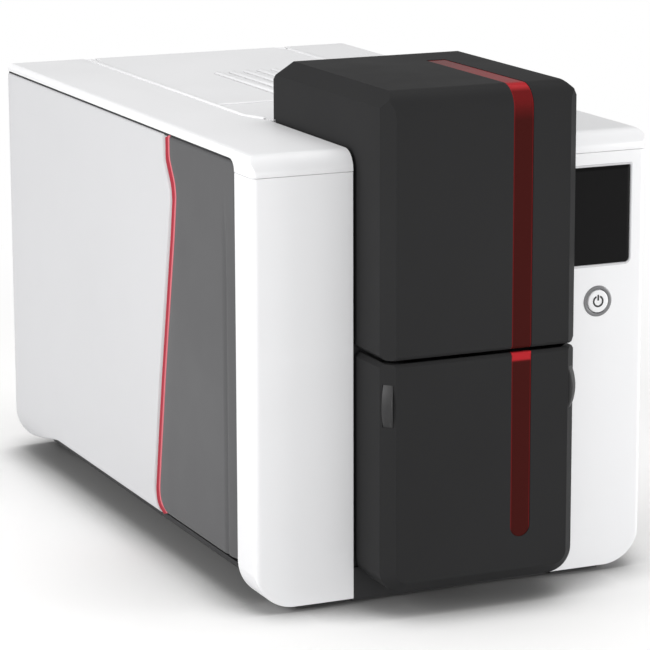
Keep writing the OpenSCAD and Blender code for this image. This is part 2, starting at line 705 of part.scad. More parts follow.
module hopper_cover() color(dark) placed() difference() {
    union() {
        difference() {
            hopper_volume();
            difference() {
                hopper_volume(wall);
                both_sides() box([m2 - wall - 1.2, -18, 20], [m2 - wall + 0.1, -16, 118]);
            }
            box([-60, -6, 0], [60, 10, low_bot + wall + 3.6]);
            box([-m2 + wall, -8, low_bot], [m2 - wall, 10, low_top + 1]);
        }
        // hinge bosses, trimmed to the inside of the rounded corners
        intersection() {
            hopper_volume(0.6);
            both_sides() rod_x(40, hopper_pin + 1.6, hopper_hinge, 4.4);
        }
    }
    both_sides() rod_x(36, hopper_pin + 0.3, hopper_hinge, 2 + fit);
    window_band(-mod_out - 1, -mod_out + wall + 1, 33, low_top + 1);
    // seats of the grips in the upright chamfers
    both_sides() grip_seat(0.1);
}

module hopper_window() color([0.7, 0.08, 0.08]) placed() intersection() {
    hopper_volume(0.25);
    window_band(-mod_out, -mod_out + wall, 33, low_top);
}

grip_z = 102.5;
grip_rad = 25;                     // radius of the disc that the grip is a slice of
grip_out = 2;                      // how far the grip stands out of the chamfer
cham_turn = atan2(cham_y, cham_x); // angle between the chamfer and the front face

// grip on the right upright chamfer: an upright slice of a flat disc
module grip_seat(play = 0)
    translate([m2 - cham_x / 2, -mod_out + cham_y / 2, grip_z])
        rotate([0, 0, cham_turn])
            intersection() {
                translate([-2.6 - play, grip_rad - grip_out - play, 0])
                    rotate([0, 90, 0]) cylinder(h = 5.2 + 2 * play, r = grip_rad);
                translate([-4, -grip_out - 1, -12]) cube([8, grip_out + 2.4 + play, 24]);
            }

module hopper_grips() color(rubber) placed() both_sides() grip_seat();

// ---- card path and rollers -----------------------------------------------

module card_path() color(steel) placed() difference() {
    union() {
        box([-58, 127, path_z - 2.6], [58, body_l - 14, path_z - 0.8]);
        both_sides() for (y = [135, 225, body_l - 35])
            box([57, y, path_z - 2.6], [plate_x, y + 14, path_z - 0.8]);
        both_sides() box([28.2, 127, path_z - 0.9], [29.4, body_l - 14, path_z + 2]);
    }
    for (y = [platen_y, rear_y, exit_y])
        box([-31.5, y - roll_r - 1.4, 120], [31.5, y + roll_r + 1.4, 140]);
    for (y = [232, 256]) for (x = [-20, 0, 20]) translate([x, y, 120]) cylinder(h = 20, r = 5);
    for (y = [145, 190]) box([-58.1, y, path_z - 0.85], [58.1, y + 30, 140]);
    for (y = [platen_y, rear_y, exit_y]) rod_x(-60, 60, [y, axis_z], shaft_r + 0.5);
}

module diverter() color(slate) placed() {
    difference() {
        union() {
            box([-27.5, 69, 129.4], [27.5, 104, 131.2]);
            rod_x(-27.5, 27.5, [104, 128], 3.2);
            for (x = [-20, 0, 18]) box([x, 74, 126.4], [x + 2, 104, 129.6]);
        }
        for (x = [-14, 8]) box([x, 76, 120], [x + 6, 96, 140]);
    }
    rod_x(-66, 66, [104, 128], 2);
}

module roller(x1, at, r = roll_r) difference() {
    rod_x(-x1, x1, at, r);
    rod_x(-x1 - 1, x1 + 1, at, shaft_r + 0.4);
}

// steel shaft with an inner hub and a flanged belt pulley on the right end
module shaft(hub, at) {
    rod_x(-66, 74, at, shaft_r);
    rod_x(-hub, hub, at, shaft_r + 0.4);
    rod_x(65, 66, at, 6.2);
    rod_x(65.9, 72.1, at, 5);
    rod_x(72, 73, at, 6.2);
}

module feed_roller() color(rubber) placed() roller(8, [feed_y, axis_z], roll_r - 0.3);
module feed_shaft() color(steel) placed() shaft(8, [feed_y, axis_z]);
module front_roller() color(rubber) placed() roller(24, [front_y, axis_z]);
module front_shaft() color(steel) placed() shaft(24, [front_y, axis_z]);
module platen_roller() color(rubber) placed() roller(29, [platen_y, axis_z]);
module platen_shaft() color(steel) placed() shaft(29, [platen_y, axis_z]);
module rear_roller() color(rubber) placed() roller(24, [rear_y, axis_z]);
module rear_shaft() color(steel) placed() shaft(24, [rear_y, axis_z]);
module exit_roller() color(rubber) placed() roller(24, [exit_y, axis_z]);
module exit_shaft() color(steel) placed() shaft(24, [exit_y, axis_z]);

module cleaning_roller() color([0.5, 0.7, 0.85]) placed() {
    rod_x(-28, 28, [86, path_z + 9.2], 8);
    rod_x(-66, 66, [86, path_z + 9.2], 2.5);
}

module pinch(at) {
    for (x = [-20, 8]) rod_x(x, x + 12, at, 5);
    rod_x(-66, 66, at, 2.5);
}

module pinch_front() color(steel) placed() pinch([front_y, pinch_z]);
module pinch_rear() color(steel) placed() pinch([rear_y, pinch_z]);

module belt_loop(r) hull() {
    translate([feed_y, axis_z]) circle(r = 5 + r);
    translate([exit_y, axis_z]) circle(r = 5 + r);
    translate([motor_y, motor_z]) circle(r = 5 + r);
}

module drive_belt() color(rubber) placed() along_x(66.3, 71.7) difference() {
    belt_loop(1.5);
    belt_loop(0.3);
}

module drive_motor() color([0.25, 0.25, 0.27]) placed() difference() {
    union() {
        along_x(20, plate_x) round_rect([motor_y - 21, motor_z - 21],
                                        [motor_y + 21, motor_z + 21], [4, 4, 4, 4]);
        rod_x(plate_x - 0.1, plate_x + 1.6, [motor_y, motor_z], 10.8);
    }
    rod_x(40, 80, [motor_y, motor_z], 2.5 + fit);
    for (x = [26, 54]) along_x(x, x + 0.6) difference() {
        translate([motor_y - 30, motor_z - 30]) square(60);
        round_rect([motor_y - 20.2, motor_z - 20.2], [motor_y + 20.2, motor_z + 20.2],
                   [4, 4, 4, 4]);
    }
}

module motor_pulley() color(steel) placed() {
    rod_x(41, 74, [motor_y, motor_z], 2.5);
    rod_x(65, 66, [motor_y, motor_z], 6.2);
    rod_x(65.9, 72.1, [motor_y, motor_z], 5);
    rod_x(72, 73, [motor_y, motor_z], 6.2);
}

// ---- ribbon --------------------------------------------------------------

module ribbon_cassette() color(slate) placed() {
    both_sides() difference() {
        along_x(33, 36) union() {
            translate([front_y, spool_z]) circle(r = 11);
            translate([rear_y, spool_z]) circle(r = 17);
            translate([front_y - 4, spool_z + 6]) square([rear_y - front_y + 4, 16]);
            translate([98, spool_z + 8]) square([16, 10]);
        }
    }
    both_sides() for (y = [front_y, rear_y]) {
        rod_x(35.9, plate_x, [y, spool_z], 4);
        rod_x(26, 33.1, [y, spool_z], 3);
    }
    for (y = [101, 227]) rod_x(-33.1, 33.1, [y, spool_z + 13], 2.5);
    both_sides() along_x(33, 36) translate([rear_y - 1, spool_z + 8]) square([25.5, 10]);
}

module spool(at, r) difference() {
    union() {
        rod_x(-30.5, 30.5, at, 6);
        rod_x(-27.5, 27.5, at, r);
    }
    both_sides() rod_x(25.5, 40, at, 3 + fit);
    rod_x(-20, 20, at, 2.4);
}

module supply_spool() color([0.13, 0.12, 0.14]) placed() spool([rear_y, spool_z], 15);
module takeup_spool() color([0.2, 0.15, 0.2]) placed() spool([front_y, spool_z], 9);

module ribbon_film() color([0.15, 0.1, 0.16]) placed() along_x(-27, 27) {
    film_z = path_z + 1.2;
    polygon([[189.7, spool_z + 2], [190, spool_z + 2], [172.3, film_z], [172, film_z]]);
    polygon([[172.3, film_z], [141.7, film_z], [141.7, film_z - 0.2], [172.3, film_z - 0.2]]);
    polygon([[142, film_z], [127.7, spool_z - 2], [127.4, spool_z - 2], [141.7, film_z]]);
}

module ribbon_motor() color([0.3, 0.3, 0.32]) placed() {
    rod_x(-w2 + 5.5, -plate_x - plate_t, [front_y, spool_z], 13);
    rod_x(-w2 + 4.7, -w2 + 5.5, [front_y, spool_z], 4);
    along_x(-65.5, -plate_x - plate_t) translate([front_y - 22, spool_z - 5]) square([44, 10]);
}

// ---- electronics ---------------------------------------------------------

module main_board() color([0.1, 0.35, 0.2]) placed() {
    box([-board_x, 75, 45], [-board_x + 1.6, board_end, 150]);
    for (y = [80, board_end - 5]) for (z = [50, 145])
        rod_x(-board_x + 1.5, -plate_x - plate_t, [y, z], 2.8);
}

module board_parts() color([0.12, 0.12, 0.13]) placed() translate([-board_x, 0, 0]) {
    for (p = [[95, 60, 18, 18], [140, 100, 22, 22], [board_end - 55, 60, 14, 10],
              [board_end - 55, 90, 14, 10]])
        box([-1.8, p[0], p[1]], [0, p[0] + p[2], p[1] + p[3]]);
    for (y = [100, 114, 128]) rod_x(-10, 0, [y, 130], 5);
    for (k = [0:3]) box([-6, board_end - 85 + 20 * k, 134], [0, board_end - 71 + 20 * k, 141]);
    box([-12, 92, 84], [0, 112, 104]);
    for (k = [0:7]) box([-0.6, board_end - 85 + 5 * k, 112], [0, board_end - 83 + 5 * k, 116]);
}

module rear_sockets() color([0.6, 0.61, 0.63]) placed() {
    difference() {
        union() {
            box([-81.8, body_l - 14, 34.2], [-66.2, body_l - 0.4, 43.8]);
            box([-84, body_l - 14, 32], [-64, rear_skin, 46]);
        }
        box([-80.5, body_l - 10, 35.6], [-67.5, body_l + 1, 42.4]);
    }
    difference() {
        union() {
            box([-57.8, body_l - 14, 32.2], [-45.2, body_l - 0.4, 44.8]);
            box([-60, body_l - 14, 30], [-43, rear_skin, 47]);
        }
        box([-56.6, body_l - 12, 33.6], [-46.4, body_l + 1, 43.4]);
    }
    difference() {
        union() {
            rod_y(body_l - 14, body_l - 0.4, [-30, 39], 5.4);
            rod_y(body_l - 14, rear_skin, [-30, 39], 8);
        }
        rod_y(body_l - 12, body_l + 1, [-30, 39], 4.4);
    }
    rod_y(body_l - 12.1, body_l - 2, [-30, 39], 1.2);
    box([-85, body_l - 14.8, 29], [-20, body_l - 13.2, 48]);
}

module fan_frame() color(dark) placed() difference() {
    union() {
        difference() {
            along_y(body_l - 12.6, rear_skin) round_rect([fan_x - 20, fan_z - 20],
                                                 [fan_x + 20, fan_z + 20], [3, 3, 3, 3]);
            rod_y(body_l - 20, body_l, [fan_x, fan_z], 18.6);
        }
        rod_y(rear_skin - 1.6, rear_skin, [fan_x, fan_z], 8);
        for (a = [0, 120, 240]) intersection() {
            translate([fan_x, rear_skin - 1.6, fan_z]) rotate([0, a, 0])
                translate([-1.5, 0, 0]) cube([3, 1.6, 19.5]);
            along_y(body_l - 13, rear_skin) round_rect([fan_x - 20, fan_z - 20],
                                               [fan_x + 20, fan_z + 20], [3, 3, 3, 3]);
        }
        rod_y(body_l - 11.6, rear_skin, [fan_x, fan_z], 1.5);
    }
    for (x = [-16, 16]) for (z = [-16, 16]) rod_y(body_l - 20, body_l, [fan_x + x, fan_z + z], 1.7);
}

module fan_rotor() color([0.1, 0.1, 0.11]) placed() difference() {
    union() {
        rod_y(body_l - 12.1, body_l - 4.8, [fan_x, fan_z], 8);
        for (k = [0:6]) translate([fan_x, body_l - 8.4, fan_z]) rotate([0, k * 360 / 7, 0])
            translate([0, 0, 7]) rotate([0, 0, 35]) translate([-5, -0.6, 0])
                cube([10, 1.2, 10]);
    }
    rod_y(body_l - 20, body_l, [fan_x, fan_z], 1.5 + fit);
}

// ---- nodes ---------------------------------------------------------------

base_tray();
rubber_feet();
side_plates();
front_frame();
fascia_left();
fascia_right();
top_cover();
rear_cover();
side_panel_left();
side_panel_right();
side_front_left();
side_front_right();
side_trims();
screen_bezel();
touchscreen();
button_ring();
power_button();
button_mark();
hood();
head_bracket();
print_head();
hinge_pins();
feeder_body();
feeder_cover();
feeder_window();
card_stack();
card_pusher();
case_screws();
hopper_tray();
hopper_cover();
hopper_window();
hopper_grips();
card_path();
diverter();
feed_roller();
feed_shaft();
front_roller();
front_shaft();
platen_roller();
platen_shaft();
rear_roller();
rear_shaft();
exit_roller();
exit_shaft();
cleaning_roller();
pinch_front();
pinch_rear();
drive_belt();
drive_motor();
motor_pulley();
ribbon_cassette();
supply_spool();
takeup_spool();
ribbon_film();
ribbon_motor();
main_board();
board_parts();
fan_frame();
fan_rotor();
rear_sockets();
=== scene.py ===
import json
import math

import bmesh
import bpy
import numpy as np
from mathutils import Matrix

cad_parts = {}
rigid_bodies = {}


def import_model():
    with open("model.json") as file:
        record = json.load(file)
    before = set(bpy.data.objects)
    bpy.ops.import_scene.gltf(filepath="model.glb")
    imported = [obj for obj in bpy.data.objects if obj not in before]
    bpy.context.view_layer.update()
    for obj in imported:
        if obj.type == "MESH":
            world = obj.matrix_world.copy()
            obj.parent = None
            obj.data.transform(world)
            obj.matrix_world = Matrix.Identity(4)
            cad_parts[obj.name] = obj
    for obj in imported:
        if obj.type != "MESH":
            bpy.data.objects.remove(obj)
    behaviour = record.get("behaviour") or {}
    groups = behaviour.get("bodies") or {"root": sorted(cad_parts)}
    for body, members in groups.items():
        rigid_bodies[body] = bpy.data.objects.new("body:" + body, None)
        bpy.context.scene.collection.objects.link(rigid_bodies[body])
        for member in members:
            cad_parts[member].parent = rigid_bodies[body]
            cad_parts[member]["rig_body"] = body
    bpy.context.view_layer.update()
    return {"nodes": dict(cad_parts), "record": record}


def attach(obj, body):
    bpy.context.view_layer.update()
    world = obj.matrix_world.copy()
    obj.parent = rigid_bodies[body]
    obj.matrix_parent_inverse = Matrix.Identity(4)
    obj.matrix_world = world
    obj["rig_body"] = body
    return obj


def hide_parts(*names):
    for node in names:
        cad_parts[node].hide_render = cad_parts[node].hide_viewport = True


# Card printer: white body with two-tone sides, dark card feeder and hopper in front.
# Sizes in the dictionaries are millimetres, with y = 0 at the front face of the body.

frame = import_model()
bodyFront = -159.5  # y of the body's front face in the row frame


def toFrame(points):
    # millimetres from the body's front face -> metres: (x, y + bodyFront, z) / 1000
    moved = np.array(points, float)
    moved[..., 1] += bodyFront
    return moved / 1000.0


# mesh tools

def gridQuads(rows, cols, wrapRows=False, wrapCols=False):
    # corner numbers of the quads of a rows x cols grid, closed on itself where asked
    number = np.arange(rows * cols).reshape(rows, cols)
    if wrapRows:
        number = np.vstack([number, number[:1]])
    if wrapCols:
        number = np.hstack([number, number[:, :1]])
    corners = (number[:-1, :-1], number[1:, :-1], number[1:, 1:], number[:-1, 1:])
    return np.stack(corners, -1).reshape(-1, 4)


def addPiece(name, points, faces, body, slotName, sharp, replaces=()):
    # points in millimetres, faces as lists of corner numbers;
    # edges bent by more than sharp degrees stay crisp
    mesh = bpy.data.meshes.new(name)
    mesh.from_pydata(toFrame(points).reshape(-1, 3).tolist(), [], [list(map(int, f)) for f in faces])
    work = bmesh.new()
    work.from_mesh(mesh)
    bmesh.ops.remove_doubles(work, verts=work.verts, dist=1e-7)
    bmesh.ops.recalc_face_normals(work, faces=work.faces)
    work.to_mesh(mesh)
    work.free()
    mesh.polygons.foreach_set("use_smooth", np.ones(len(mesh.polygons), bool))
    mesh.set_sharp_from_angle(angle=math.radians(sharp))
    piece = bpy.data.objects.new(name, mesh)
    bpy.context.scene.collection.objects.link(piece)
    mesh.materials.append(finishes[slotName])
    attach(piece, body)
    if replaces:
        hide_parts(*replaces)
    return piece


def joinMeshes(parts):
    # parts: (points, faces) pairs -> one pair, with the corner numbers shifted
    points, faces, first = [], [], 0
    for somePoints, someFaces in parts:
        somePoints = np.asarray(somePoints, float).reshape(-1, 3)
        points.append(somePoints)
        faces += [[first + int(i) for i in f] for f in someFaces]
        first += len(somePoints)
    return np.vstack(points), faces


def ringSolid(rings, closed=False):
    # rings[k, n]: closed loops of n points, joined in turn -> (points, faces);
    # the first and last loop are capped, or joined to each other where closed
    rows, cols = rings.shape[:2]
    faces = gridQuads(rows, cols, closed, True).tolist()
    if not closed:
        faces += [list(range(cols)), [(rows - 1) * cols + i for i in range(cols)]]
    return rings.reshape(-1, 3), faces


def addRings(name, rings, body, slotName, closed=False, **more):
    addPiece(name, *ringSolid(rings, closed), body, slotName, **more)


def latheRings(profile, centre, axis, count):
    # profile rows are (radius, height along the axis); ring k, point i:
    # centre + radius * (cos a, sin a) across the axis, a = 2 pi i / count
    profile = np.asarray(profile, float)
    angle = np.linspace(0, 2 * math.pi, count, endpoint=False)
    across = np.maximum(profile[:, :1], 1e-4)
    one, two = across * np.cos(angle), across * np.sin(angle)
    along = np.repeat(profile[:, 1:2], count, 1)
    order = {"x": (along, one, two), "y": (two, along, one), "z": (one, two, along)}[axis]
    return np.stack(order, -1) + np.asarray(centre, float)


def roundedRect(low, high, radii, inset):
    # outline of a rectangle whose corners are arcs of 7 points each:
    # lower left, lower right, upper right, upper left
    low, high = np.asarray(low, float) + inset, np.asarray(high, float) - inset
    corners = [(low[0], low[1], 1, 1, 180), (high[0], low[1], -1, 1, 270),
               (high[0], high[1], -1, -1, 0), (low[0], high[1], 1, -1, 90)]
    points = []
    for (x, z, toX, toZ, start), radius in zip(corners, radii):
        radius = max(radius - inset, 0.02)
        turn = np.radians(start + np.linspace(0, 90, 7))
        points.append(np.stack([x + toX * radius + radius * np.cos(turn),
                                z + toZ * radius + radius * np.sin(turn)], -1))
    return np.vstack(points)


def plateRings(outline, profile):
    # profile rows are (inset, y): the upright outline shrunk by inset, standing at that y
    rings = []
    for inset, depth in profile:
        flat = outline(inset)
        rings.append(np.stack([flat[:, 0], np.full(len(flat), float(depth)), flat[:, 1]], -1))
    return np.array(rings)


def smoothStep(low, high, values):
    # 3 t^2 - 2 t^3 with t running from 0 at low to 1 at high
    t = np.clip((values - low) / (high - low), 0, 1)
    return t * t * (3 - 2 * t)


def shellFromGrid(outer, inner):
    # two facing grids of equal size joined along their rims -> (points, faces)
    rows, cols = outer.shape[:2]
    number = np.arange(rows * cols).reshape(rows, cols)
    rim = np.concatenate([number[0, :-1], number[:-1, -1], number[-1, :0:-1], number[:0:-1, 0]])
    ahead = np.roll(rim, -1)
    sides = np.stack([rim, ahead, ahead + rows * cols, rim + rows * cols], -1)
    quads = gridQuads(rows, cols)
    faces = np.vstack([quads, quads + rows * cols, sides]).tolist()
    return np.vstack([outer.reshape(-1, 3), inner.reshape(-1, 3)]), faces


def cornerDrop(distance, radius):
    # how far a surface falls back at this distance from an edge rounded with this radius
    near = np.clip(radius - distance, 0, radius)
    return radius - np.sqrt(np.maximum(radius ** 2 - near ** 2, 0))


def mirrored(points):
    flipped = np.array(points, float)
    flipped[..., 0] *= -1
    return flipped


def setPaintedLight(piece, paintedLight):
    # the painted-light share: a function of the piece's points in millimetres -> 0..1, kept as a point
    # attribute that places painted highlights
    corners = np.zeros(len(piece.data.vertices) * 3)
    piece.data.vertices.foreach_get("co", corners)
    local = corners.reshape(-1, 3) * 1000.0
    local[:, 1] -= bodyFront
    attribute = piece.data.attributes.new("paintedLight", "FLOAT", "POINT")
    attribute.data.foreach_set("value", np.clip(paintedLight(local), 0, 1).astype(np.float32))


def softened(node, width, slotName, shaped=None):
    # a merged copy of a CAD node with edges rounded over width (mm), shown in its place;
    # shaped moves the copy's points (metres, row frame) first
    source = frame["nodes"][node]
    mesh = bpy.data.meshes.new(node + "_moulding")
    work = bmesh.new()
    corners = np.zeros(len(source.data.vertices) * 3)
    source.data.vertices.foreach_get("co", corners)
    corners = corners.reshape(-1, 3)
    if shaped:
        corners = shaped(corners)
    source.data.calc_loop_triangles()
    triangles = np.zeros(len(source.data.loop_triangles) * 3, np.int32)
    source.data.loop_triangles.foreach_get("vertices", triangles)
    mesh.from_pydata(corners.tolist(), [], triangles.reshape(-1, 3).tolist())
    work.from_mesh(mesh)
    bmesh.ops.remove_doubles(work, verts=work.verts, dist=2e-6)
    bmesh.ops.dissolve_limit(work, angle_limit=math.radians(0.6), verts=work.verts, edges=work.edges)
    work.to_mesh(mesh)
    work.free()
    mesh.polygons.foreach_set("use_smooth", np.ones(len(mesh.polygons), bool))
    mesh.materials.append(finishes[slotName])
    piece = bpy.data.objects.new(node + "_moulding", mesh)
    bpy.context.scene.collection.objects.link(piece)
    bevel = piece.modifiers.new("roundedEdges", "BEVEL")
    bevel.width, bevel.segments = width / 1000.0, 3
    bevel.limit_method, bevel.angle_limit = "ANGLE", math.radians(30)
    bevel.use_clamp_overlap = True
    bevel.harden_normals = True
    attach(piece, source["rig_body"])
    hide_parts(node)


# finishes

def startFinish(name, colour, roughness, **shaderValues):
    finish = bpy.data.materials.new(name)
    finish.use_nodes = True
    tree = finish.node_tree
    shader = tree.nodes["Principled BSDF"]
    shader.inputs["Base Color"].default_value = (*colour, 1)
    shader.inputs["Roughness"].default_value = roughness
    for label, value in shaderValues.items():
        shader.inputs[label.replace("_", " ")].default_value = value
    finish.diffuse_color = (*colour, 1)
    return finish, tree, shader


def addNode(tree, kind, inputs=None, **settings):
    made = tree.nodes.new(kind)
    for label, value in settings.items():
        setattr(made, label, value)
    for label, value in (inputs or {}).items():
        made.inputs[label].default_value = value
    return made


def objectNoise(tree, scale, detail=3.0, stretch=(1, 1, 1)):
    # noise on Object coordinates; scale is features per metre
    place = addNode(tree, "ShaderNodeTexCoord")
    turn = addNode(tree, "ShaderNodeMapping", {"Scale": stretch})
    noise = addNode(tree, "ShaderNodeTexNoise", {"Scale": scale, "Detail": detail})
    tree.links.new(place.outputs["Object"], turn.inputs["Vector"])
    tree.links.new(turn.outputs["Vector"], noise.inputs["Vector"])
    return noise


def spread(tree, source, low, high, fromLow=0.3, fromHigh=0.7):
    # maps a noise value onto low..high
    ranged = addNode(tree, "ShaderNodeMapRange", {"From Min": fromLow, "From Max": fromHigh,
                                                   "To Min": low, "To Max": high})
    tree.links.new(source, ranged.inputs["Value"])
    return ranged.outputs["Result"]


def blendColours(tree, factor, first, second):
    mix = addNode(tree, "ShaderNodeMix", data_type="RGBA")
    mix.inputs["A"].default_value = (*first, 1)
    mix.inputs["B"].default_value = (*second, 1)
    tree.links.new(factor, mix.inputs["Factor"])
    return mix.outputs["Result"]


def addBump(tree, shader, height, strength, distance):
    bump = addNode(tree, "ShaderNodeBump", {"Strength": strength, "Distance": distance})
    tree.links.new(height, bump.inputs["Height"])
    tree.links.new(bump.outputs["Normal"], shader.inputs["Normal"])


def shade(colour, factor):
    return tuple(min(1.0, c * factor) for c in colour)


def mouldedPlastic(name, colour, roughness, grain, grainDepth, clouds, **shaderValues):
    # fine spark-eroded grain (mm), slow drift of gloss and a trace of tone
    finish, tree, shader = startFinish(name, colour, roughness, **shaderValues)
    fine = objectNoise(tree, 1000.0 / grain, 2.0)
    slow = objectNoise(tree, 26.0, 4.0)
    tone = objectNoise(tree, 9.0, 3.0)
    addBump(tree, shader, fine.outputs["Fac"], grainDepth, 0.00006)
    tree.links.new(spread(tree, slow.outputs["Fac"], roughness - 0.035, roughness + 0.035),
                   shader.inputs["Roughness"])
    tree.links.new(blendColours(tree, spread(tree, tone.outputs["Fac"], 0, 1),
                                shade(colour, 1 - clouds), shade(colour, 1 + clouds)),
                   shader.inputs["Base Color"])
    return finish


def brushedMetal(name, colour, roughness, along):
    # scratches drawn out along one axis (0 x, 1 y, 2 z), on gloss, height and tone
    finish, tree, shader = startFinish(name, colour, roughness, Metallic=1.0)
    stretch = [1.0, 1.0, 1.0]
    stretch[along] = 0.02
    hair = objectNoise(tree, 2200.0, 3.0, stretch)
    stain = objectNoise(tree, 35.0, 4.0)
    addBump(tree, shader, hair.outputs["Fac"], 0.18, 0.00003)
    tree.links.new(spread(tree, hair.outputs["Fac"], roughness - 0.08, roughness + 0.12),
                   shader.inputs["Roughness"])
    tree.links.new(blendColours(tree, spread(tree, stain.outputs["Fac"], 0, 1),
                                shade(colour, 0.86), shade(colour, 1.06)), shader.inputs["Base Color"])
    return finish


def softRubber(name, colour, roughness):
    # dull surface with dust in its pores
    finish, tree, shader = startFinish(name, colour, roughness)
    pores = objectNoise(tree, 1800.0, 4.0)
    dust = objectNoise(tree, 120.0, 5.0)
    addBump(tree, shader, pores.outputs["Fac"], 0.3, 0.0001)
    tree.links.new(spread(tree, dust.outputs["Fac"], roughness - 0.1, roughness + 0.06),
                   shader.inputs["Roughness"])
    tree.links.new(blendColours(tree, spread(tree, dust.outputs["Fac"], 0, 1),
                                shade(colour, 0.85), shade(colour, 1.35)), shader.inputs["Base Color"])
    return finish


def tintedPlastic(name, dark, lit, roughness):
    # tinted plastic with painted highlights: a point attribute runs from its deep tone (0) to a painted
    # highlight tone on its rims, folds and crests (1)
    finish, tree, shader = startFinish(name, dark, roughness, Specular_IOR_Level=0.015)
    paintedLight = addNode(tree, "ShaderNodeAttribute", attribute_name="paintedLight")
    flecks = objectNoise(tree, 160.0, 3.0)
    ramp = addNode(tree, "ShaderNodeValToRGB")
    ramp.color_ramp.elements[0].color = (*dark, 1)
    ramp.color_ramp.elements[1].color = (*lit, 1)
    tree.links.new(paintedLight.outputs["Fac"], ramp.inputs["Fac"])
    tree.links.new(ramp.outputs["Color"], shader.inputs["Base Color"])
    tree.links.new(spread(tree, flecks.outputs["Fac"], roughness - 0.02, roughness + 0.04),
                   shader.inputs["Roughness"])
    return finish


def coverGlass(name, colour, cellColour):
    # dark display under gloss glass, with a faint grid of cells
    finish, tree, shader = startFinish(name, colour, 0.12, Specular_IOR_Level=0.12)
    place = addNode(tree, "ShaderNodeTexCoord")
    cells = addNode(tree, "ShaderNodeTexVoronoi", {"Scale": 2600.0, "Randomness": 0.0},
                    distance="CHEBYCHEV")
    tree.links.new(place.outputs["Object"], cells.inputs["Vector"])
    tree.links.new(blendColours(tree, spread(tree, cells.outputs["Distance"], 0, 1, 0.3, 0.5),
                                cellColour, colour), shader.inputs["Base Color"])
    smear = objectNoise(tree, 60.0, 4.0)
    tree.links.new(spread(tree, smear.outputs["Fac"], 0.1, 0.17), shader.inputs["Roughness"])
    return finish


def circuitBoard(name):
    # green lacquer over lighter tracks on a fine grid, with scattered pads
    finish, tree, shader = startFinish(name, (0.012, 0.07, 0.03), 0.35, Coat_Weight=0.3)
    place = addNode(tree, "ShaderNodeTexCoord")
    turn = addNode(tree, "ShaderNodeMapping", {"Rotation": (0, math.radians(90), 0)})
    tracks = addNode(tree, "ShaderNodeTexBrick", {"Scale": 130.0, "Mortar Size": 0.016, "Brick Width": 0.9,
                                                  "Row Height": 0.22,
                                                  "Color1": (0.010, 0.062, 0.026, 1),
                                                  "Color2": (0.014, 0.075, 0.032, 1),
                                                  "Mortar": (0.05, 0.17, 0.06, 1)}, offset=0.37)
    pads = addNode(tree, "ShaderNodeTexVoronoi", {"Scale": 260.0, "Randomness": 0.55})
    tree.links.new(place.outputs["Object"], turn.inputs["Vector"])
    tree.links.new(turn.outputs["Vector"], tracks.inputs["Vector"])
    tree.links.new(place.outputs["Object"], pads.inputs["Vector"])
    near = addNode(tree, "ShaderNodeMath", operation="LESS_THAN")
    near.inputs[1].default_value = 0.16
    tree.links.new(pads.outputs["Distance"], near.inputs[0])
    mix = addNode(tree, "ShaderNodeMix", data_type="RGBA")
    mix.inputs["B"].default_value = (0.55, 0.53, 0.42, 1)
    tree.links.new(near.outputs["Value"], mix.inputs["Factor"])
    tree.links.new(tracks.outputs["Color"], mix.inputs["A"])
    tree.links.new(mix.outputs["Result"], shader.inputs["Base Color"])
    addBump(tree, shader, tracks.outputs["Fac"], 0.3, 0.00005)
    return finish


def printerRibbon(name):
    # dark colour film whose tone changes in slow bands, very glossy
    finish, tree, shader = startFinish(name, (0.03, 0.02, 0.04), 0.18, Coat_Weight=0.4)
    place = addNode(tree, "ShaderNodeTexCoord")
    wave = addNode(tree, "ShaderNodeTexWave", {"Scale": 420.0, "Distortion": 0.6, "Detail": 2.0},
                   bands_direction="X")
    tree.links.new(place.outputs["Object"], wave.inputs["Vector"])
    tree.links.new(blendColours(tree, spread(tree, wave.outputs["Fac"], 0, 1, 0, 1),
                                (0.012, 0.009, 0.016), (0.05, 0.03, 0.06)), shader.inputs["Base Color"])
    addBump(tree, shader, wave.outputs["Fac"], 0.15, 0.00004)
    return finish


# base colours, as the shaders take them
tones = dict(white=(0.83, 0.83, 0.84), light=(0.60, 0.60, 0.612), slate=(0.092, 0.092, 0.0945),
             dark=(0.0262, 0.0262, 0.0267), inner=(0.03, 0.03, 0.032), base=(0.016, 0.016, 0.017),
             # the crest red and the window's lit red are painted highlight tones, not colours of the plastic
             red=(0.36, 0.028, 0.045), redPaintedHighlight=(0.70, 0.20, 0.23),
             windowDark=(0.050, 0.0085, 0.0075), windowPaintedHighlight=(0.42, 0.022, 0.028),
             steel=(0.56, 0.57, 0.59), aluminium=(0.66, 0.67, 0.69), ring=(0.21, 0.21, 0.215),
             mark=(0.012, 0.012, 0.013), card=(0.80, 0.80, 0.78), cleaning=(0.12, 0.30, 0.50),
             rubber=(0.02, 0.02, 0.021), grip=(0.016, 0.016, 0.0165), motor=(0.03, 0.03, 0.033),
             chip=(0.02, 0.02, 0.022), socket=(0.5, 0.5, 0.52),
             glass=(0.0035, 0.0034, 0.0036), glassCell=(0.006, 0.0056, 0.0058))

